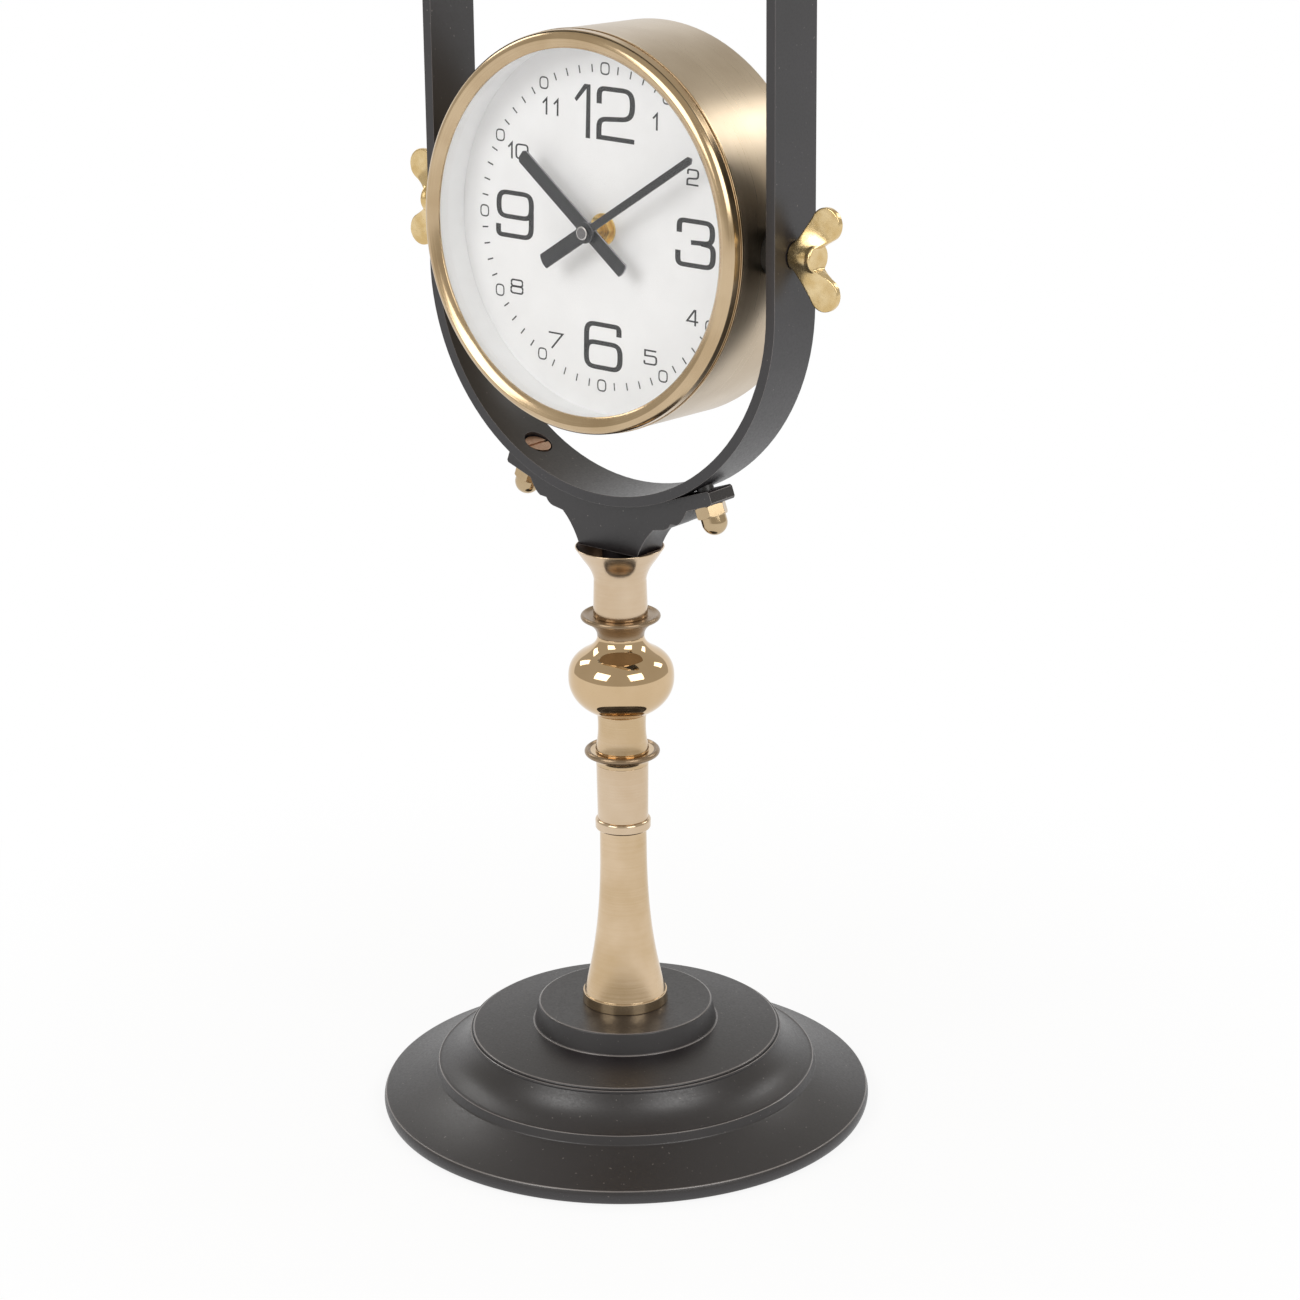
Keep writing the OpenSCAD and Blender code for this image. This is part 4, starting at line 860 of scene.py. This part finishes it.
BIG_ONE = [(-8.3, 39.7), (-8.3, 63.6), (-11.9, 63.6), (-17.6, 56.7), (-16.4, 55.4), (-10.6, 61.6),
           (-10.9, 39.7)]
BIG = [
    ([(-3.2, 55.8), (-3.2, 62.6, 5.5), (16, 62.6, 6), (16, 50.3, 6), (-3.2, 48.9, 5.5),
      (-3.2, 40.9), (17.3, 40.7)], False),
    ([(43.6, 4.2), (43.6, 9.7, 5), (62.2, 9.7, 5), (62.2, 0.8, 4), (50.3, 0.3)], False),
    ([(56, 0.3), (62.8, -0.2, 5), (62.8, -9.8, 5), (43, -9.8, 5), (43, -3.8)], False),
    (box_loop(-62.6, -42.9, -1, 10, 5), True),
    ([(-42.9, 2), (-42.9, -9.7, 5), (-62.9, -9.7, 5), (-62.9, -4.9)], False),
    (box_loop(-9.3, 10.6, -63.2, -51.9, 5), True),
    ([(-9.3, -56), (-9.3, -43.5, 5), (9.8, -43.5, 5), (9.8, -47.9)], False),
]
SMALL = [
    (small_one(-34.1, 54.9), False), (small_one(-27.5, 54.9), False), (small_one(30, 54.4), False),
    (small_one(-54.8, 32.9), False),
    ([(47.9, 30.2), (47.9, 32.2, 1.5), (53.7, 32.2, 1.9), (53.7, 28.6, 1.7), (47.6, 28.2, 1.7),
      (47.6, 25.6), (53.9, 25.6)], False),
    ([(55.2, -34.7), (48.9, -34.7), (52.9, -29.7), (53.5, -29.7), (53.5, -36.6)], False),
    ([(31.6, -51.3), (25.1, -51.3), (25.1, -53.8), (31.7, -53.6, 1.9), (31.7, -57.4, 1.8),
      (24.8, -57.5, 1.7), (24.8, -56)], False),
    ([(-32, -51.2), (-23.6, -51.2), (-30.1, -58.4)], False),
    (box_loop(-54.9, -48.1, -32.7, -29.8, 1.5), True),
    (box_loop(-55.1, -47.9, -36, -32.9, 1.6), True),
    (box_loop(-52.2, -45.2, 26.2, 32.6, 2), True),
]
printed = bmesh.new()
printed.faces.new([printed.verts.new((x, 0, z)) for x, z in BIG_ONE])
for paths, pen in ((BIG, BIG_PEN), (SMALL, SMALL_PEN)):
    for path, closed in paths:
        stroke(printed, path, pen, closed)
print("numerals:", len(printed.faces), "faces")

# %% [markdown]
# ## Minute track and the film of ink
#
# The track has a tick for each minute and a small round-cornered box for each hour. It is screen
# printed like the numerals, so it goes into the same film. The film's back lies a hair inside the
# enamel, so no two faces share a plane.

# %% Track and film
TRACK_R, TICK_IN, TICK_OUT = 71.4, 69.6, 73.1
BOX_W, BOX_H, BOX_CORNER = 2.35, 2.5, 2.1
MINUTES, HOUR_STEP = 60, 5
INK_LIFT, INK_SUNK = 0.03, 0.01

for minute in range(MINUTES):
    angle = 2 * math.pi * minute / MINUTES
    out = Vector((math.sin(angle), math.cos(angle)))
    if minute % HOUR_STEP:
        stroke(printed, [out * TICK_IN, out * TICK_OUT], TRACK_PEN)
    else:
        x, z = out * TRACK_R
        hour_box = box_loop(x - BOX_W, x + BOX_W, z - BOX_H, z + BOX_H, BOX_CORNER)
        stroke(printed, hour_box, TRACK_PEN, True)
bmesh.ops.remove_doubles(printed, verts=printed.verts, dist=CUT)
dial_face = min((CASE.inverted() @ v.co).y for v in nodes["dial"].data.vertices)
bmesh.ops.translate(printed, verts=printed.verts, vec=(0, dial_face + INK_SUNK, 0))
film = bmesh.ops.extrude_face_region(printed, geom=printed.faces[:], use_keep_orig=True)["geom"]
bmesh.ops.translate(printed, verts=[v for v in film if isinstance(v, bmesh.types.BMVert)],
                    vec=(0, -INK_LIFT - INK_SUNK, 0))
ink = skinned("screen_printed_black_ink", "#232426", "#1c1d1f",
              roughness=0.6, skin=0.55, relief=0.003)
printed = finished(printed, "dial_numerals", "clock_head", ink, CASE)
printed.data.shade_flat()
print("printed faces:", len(printed.data.polygons), "dial face at", round(dial_face, 2), "mm")

# %% [markdown]
# ## Glass
#
# The pane is thin flat window glass. A real pane bends light so little that it can be left out, and
# then lamps still light the dial through it. So the pane is a mix of clear and mirror. At a slant
# it mirrors more, and Facing, which is 0 straight on and 1 at the edge of sight, gives that on both
# of its sides: a small mirror share everywhere, and the rest by its fifth power.

# %% Window glass
STRAIGHT_SHARE, MIRROR_POWER, SMEAR = 0.025, 5, 80

window, tree, mirror, place = begin("thin_window_glass", metallic=1.0, roughness=0.02,
                                    colour="#ffffff")
smear = add(tree, "TexNoise", {"Vector": place, "Scale": per_metre(SMEAR), "Detail": 2})
wiped = add(tree, "MapRange", {"Value": smear, "To Min": 0.01, "To Max": 0.035})
fill(tree, mirror, {"Roughness": wiped})
slant = add(tree, "LayerWeight", {"Blend": 0.5}, "Facing")
rise = add(tree, "Math", {0: slant, 1: MIRROR_POWER}, operation="POWER")
share = add(tree, "MapRange", {"Value": rise, "To Min": STRAIGHT_SHARE})
clear = add(tree, "BsdfTransparent", {"Color": "#ffffff"})
pane = add(tree, "MixShader", {0: share, 1: clear, 2: mirror.outputs[0]})
fill(tree, tree.nodes["Material Output"], {"Surface": pane})
print("the pane mirrors", STRAIGHT_SHARE, "of the light straight on")

# %% [markdown]
# ## What the case and the base hide
#
# The CAD nodes inside the case and under the base have the right shape as they are, so they only
# get their finishes. Fasteners are steel with bright zinc plating, contacts are bare steel, gears
# are gilt brass. The battery has a glossy printed sleeve, kept plain. Felt is pressed wool: its
# fibres lie flat and cross each other, so it is matt, with a soft pale rim of loose hairs.

# %% Felt and sleeve
FIBRE = 0.7

felt, tree, shader, place = begin("pressed_wool_felt", metallic=0.0, roughness=0.95,
                                  colour="#1f1d1c")
flat_lay = add(tree, "Mapping", {"Vector": place, "Scale": (1, 1, 3)})
fibres = add(tree, "TexNoise", {"Vector": flat_lay, "Scale": per_metre(FIBRE), "Detail": 4})
wool = add(tree, "Mix", {0: fibres, 6: "#141313", 7: "#34302d"}, 2, data_type="RGBA")
matted = add(tree, "Bump", {"Height": fibres, "Distance": 0.12 * MM})
fill(tree, shader, {"Base Color": wool, "Normal": matted, "Sheen Weight": 0.3})
sleeve = skinned("printed_battery_sleeve", "#33506b", "#2a4257",
                 roughness=0.3, skin=3, relief=0.01)
zinc = buffed("bright_zinc_plated_steel", "#b3b4b6", "#9a9b9d", roughness=0.28, wave=0.01)
print("felt fibres:", FIBRE, "mm wide")

# %% Finishes of the CAD nodes that stay
for name, material in {
        "glass": window, "dial": enamel, "pivot_bosses": champagne, "cover_screws": zinc,
        "base_pad": felt, "base_washer": zinc, "base_nut": zinc, "tie_rod": zinc,
        "movement_gasket": rubber, "hand_bush": gilt, "cannon_pinion": gilt, "hour_wheel": gilt,
        "minute_wheel": gilt, "battery": sleeve, "battery_contacts": zinc}.items():
    nodes[name].data.materials.clear()
    nodes[name].data.materials.append(material)
print("CAD nodes shown as they are:", sum(not o.hide_render for o in nodes.values()))

# %% [markdown]
# ## The room
#
# The photograph was taken in front of a white backdrop. The ball mirrors the whole room, and shows
# it: behind the clock and below it all is white, and elsewhere the room above the horizon is dimmer
# and a little warm, with a rather sharp line between the two. Shiny brass needs that contrast to
# look like brass. So the sky is the dim room, with a white backdrop behind the clock up to some
# height. Every ray sees the same sky, so metal and glass show the background that the camera shows.

# %% Sky
WHITE, ROOM = "#ffffff", "#c6c2ba"
WHITE_TO, DARK_FROM = -0.08, 0.0
BACKDROP_TOP, BACKDROP_EDGE, BACKDROP_FULL = 0.5, -0.55, -0.82

scene.view_settings.view_transform = "Standard"
scene.world = bpy.data.worlds.new("studio")
scene.world.use_nodes = True
tree = scene.world.node_tree
direction = add(tree, "TexCoord", out="Generated")
height = add(tree, "SeparateXYZ", {0: direction}, "Z")
ahead = add(tree, "VectorMath", {0: direction, 1: (math.sin(az), -math.cos(az), 0)}, "Value",
            operation="DOT_PRODUCT")
backdrop = add(tree, "MapRange", {"Value": ahead, "From Min": BACKDROP_EDGE,
                                  "From Max": BACKDROP_FULL, "To Max": BACKDROP_TOP})
above = add(tree, "Math", {0: height, 1: backdrop}, operation="SUBTRACT")
shade = add(tree, "MapRange", {"Value": above, "From Min": WHITE_TO, "From Max": DARK_FROM},
            interpolation_type="SMOOTHSTEP")
sky = add(tree, "Mix", {0: shade, 6: WHITE, 7: ROOM}, 2, data_type="RGBA")
fill(tree, tree.nodes["Background"], {"Color": sky, "Strength": 1.0})
print("the room is", [round(c, 2) for c in linear(ROOM)[:3]], "beside a white of 1")

# %% [markdown]
# ## The floor
#
# The floor is matt and pale, and catches the object's shadow. What the camera, metal and glass see
# of it is part real shade, near the base, and part its own white, which takes over further out, so
# the floor meets the white backdrop without a line. Light Path tells those rays from the rest.

# %% Floor
FLOOR_HALF, PALE = 6.0, "#f1f1f3"
SHADE_REACH, WHITE_BEYOND, NEAR_GLOW = 0.12, 0.5, 0.88

bm = bmesh.new()
bmesh.ops.create_grid(bm, x_segments=2, y_segments=2, size=FLOOR_HALF)
floor = bpy.data.objects.new("floor", bpy.data.meshes.new("floor"))
bm.to_mesh(floor.data)
bm.free()
scene.collection.objects.link(floor)
ground, tree, shader, place = begin("matt_white_floor", metallic=0.0, roughness=1.0, colour=PALE)
matt = add(tree, "BsdfDiffuse", {"Color": PALE})
glow = add(tree, "Emission", {"Color": WHITE, "Strength": 1.0})
away = add(tree, "VectorMath", {0: place}, "Value", operation="LENGTH")
white = add(tree, "MapRange", {"Value": away, "From Min": SHADE_REACH, "From Max": WHITE_BEYOND,
                               "To Min": NEAR_GLOW}, interpolation_type="SMOOTHSTEP")
ray = add(tree, "LightPath").node.outputs
either = add(tree, "Math", {0: ray["Is Camera Ray"], 1: ray["Is Glossy Ray"]}, operation="MAXIMUM")
seen = add(tree, "Math", {0: either, 1: ray["Is Transmission Ray"]}, operation="MAXIMUM")
share = add(tree, "Math", {0: seen, 1: white}, operation="MULTIPLY")
surface = add(tree, "MixShader", {0: share, 1: matt, 2: glow})
fill(tree, tree.nodes["Material Output"], {"Surface": surface})
floor.data.materials.append(ground)
print("floor:", 2 * FLOOR_HALF, "m wide, all white from", WHITE_BEYOND, "m out")

# %% [markdown]
# ## Lamps
#
# Four soft panels stand round the clock. Their places were read off the photograph: a ball mirrors
# the whole room, and from where a panel shows on it follows the direction that it stands in.
# Together with the sky they light the dial at a level where its colour comes out as it is written.

# %% Panels
PANEL_FAR, PANEL_UP, RADIANCE = 1.9, 0.3, 3.5


def panel(name, bearing, height, wide, high):
    """A lamp that looks at the clock. Its bearing and height are angles in degrees.

    The bearing counts from the camera's, to the right."""
    lamp = bpy.data.lights.new(name, "AREA")
    lamp.shape = "RECTANGLE"
    lamp.size, lamp.size_y = wide, high
    lamp.energy = RADIANCE * math.pi * lamp.size * lamp.size_y
    a, h = az + math.radians(bearing), math.radians(height)
    way = Vector((math.sin(a) * math.cos(h), -math.cos(a) * math.cos(h), math.sin(h)))
    thing = bpy.data.objects.new(name, lamp)
    thing.location = Vector((0, 0, PANEL_UP)) + way * PANEL_FAR
    thing.rotation_euler = way.to_track_quat("Z", "Y").to_euler()
    thing.visible_camera = False
    scene.collection.objects.link(thing)
    print(name, "gives", round(lamp.energy, 1), "W")


panel("front_left", bearing=-48, height=30, wide=1.05, high=1.0)
panel("front_right", bearing=37, height=31, wide=1.05, high=1.0)
panel("back_left", bearing=-130, height=32, wide=0.45, high=0.65)
panel("back_right", bearing=119, height=31, wide=0.45, high=0.6)
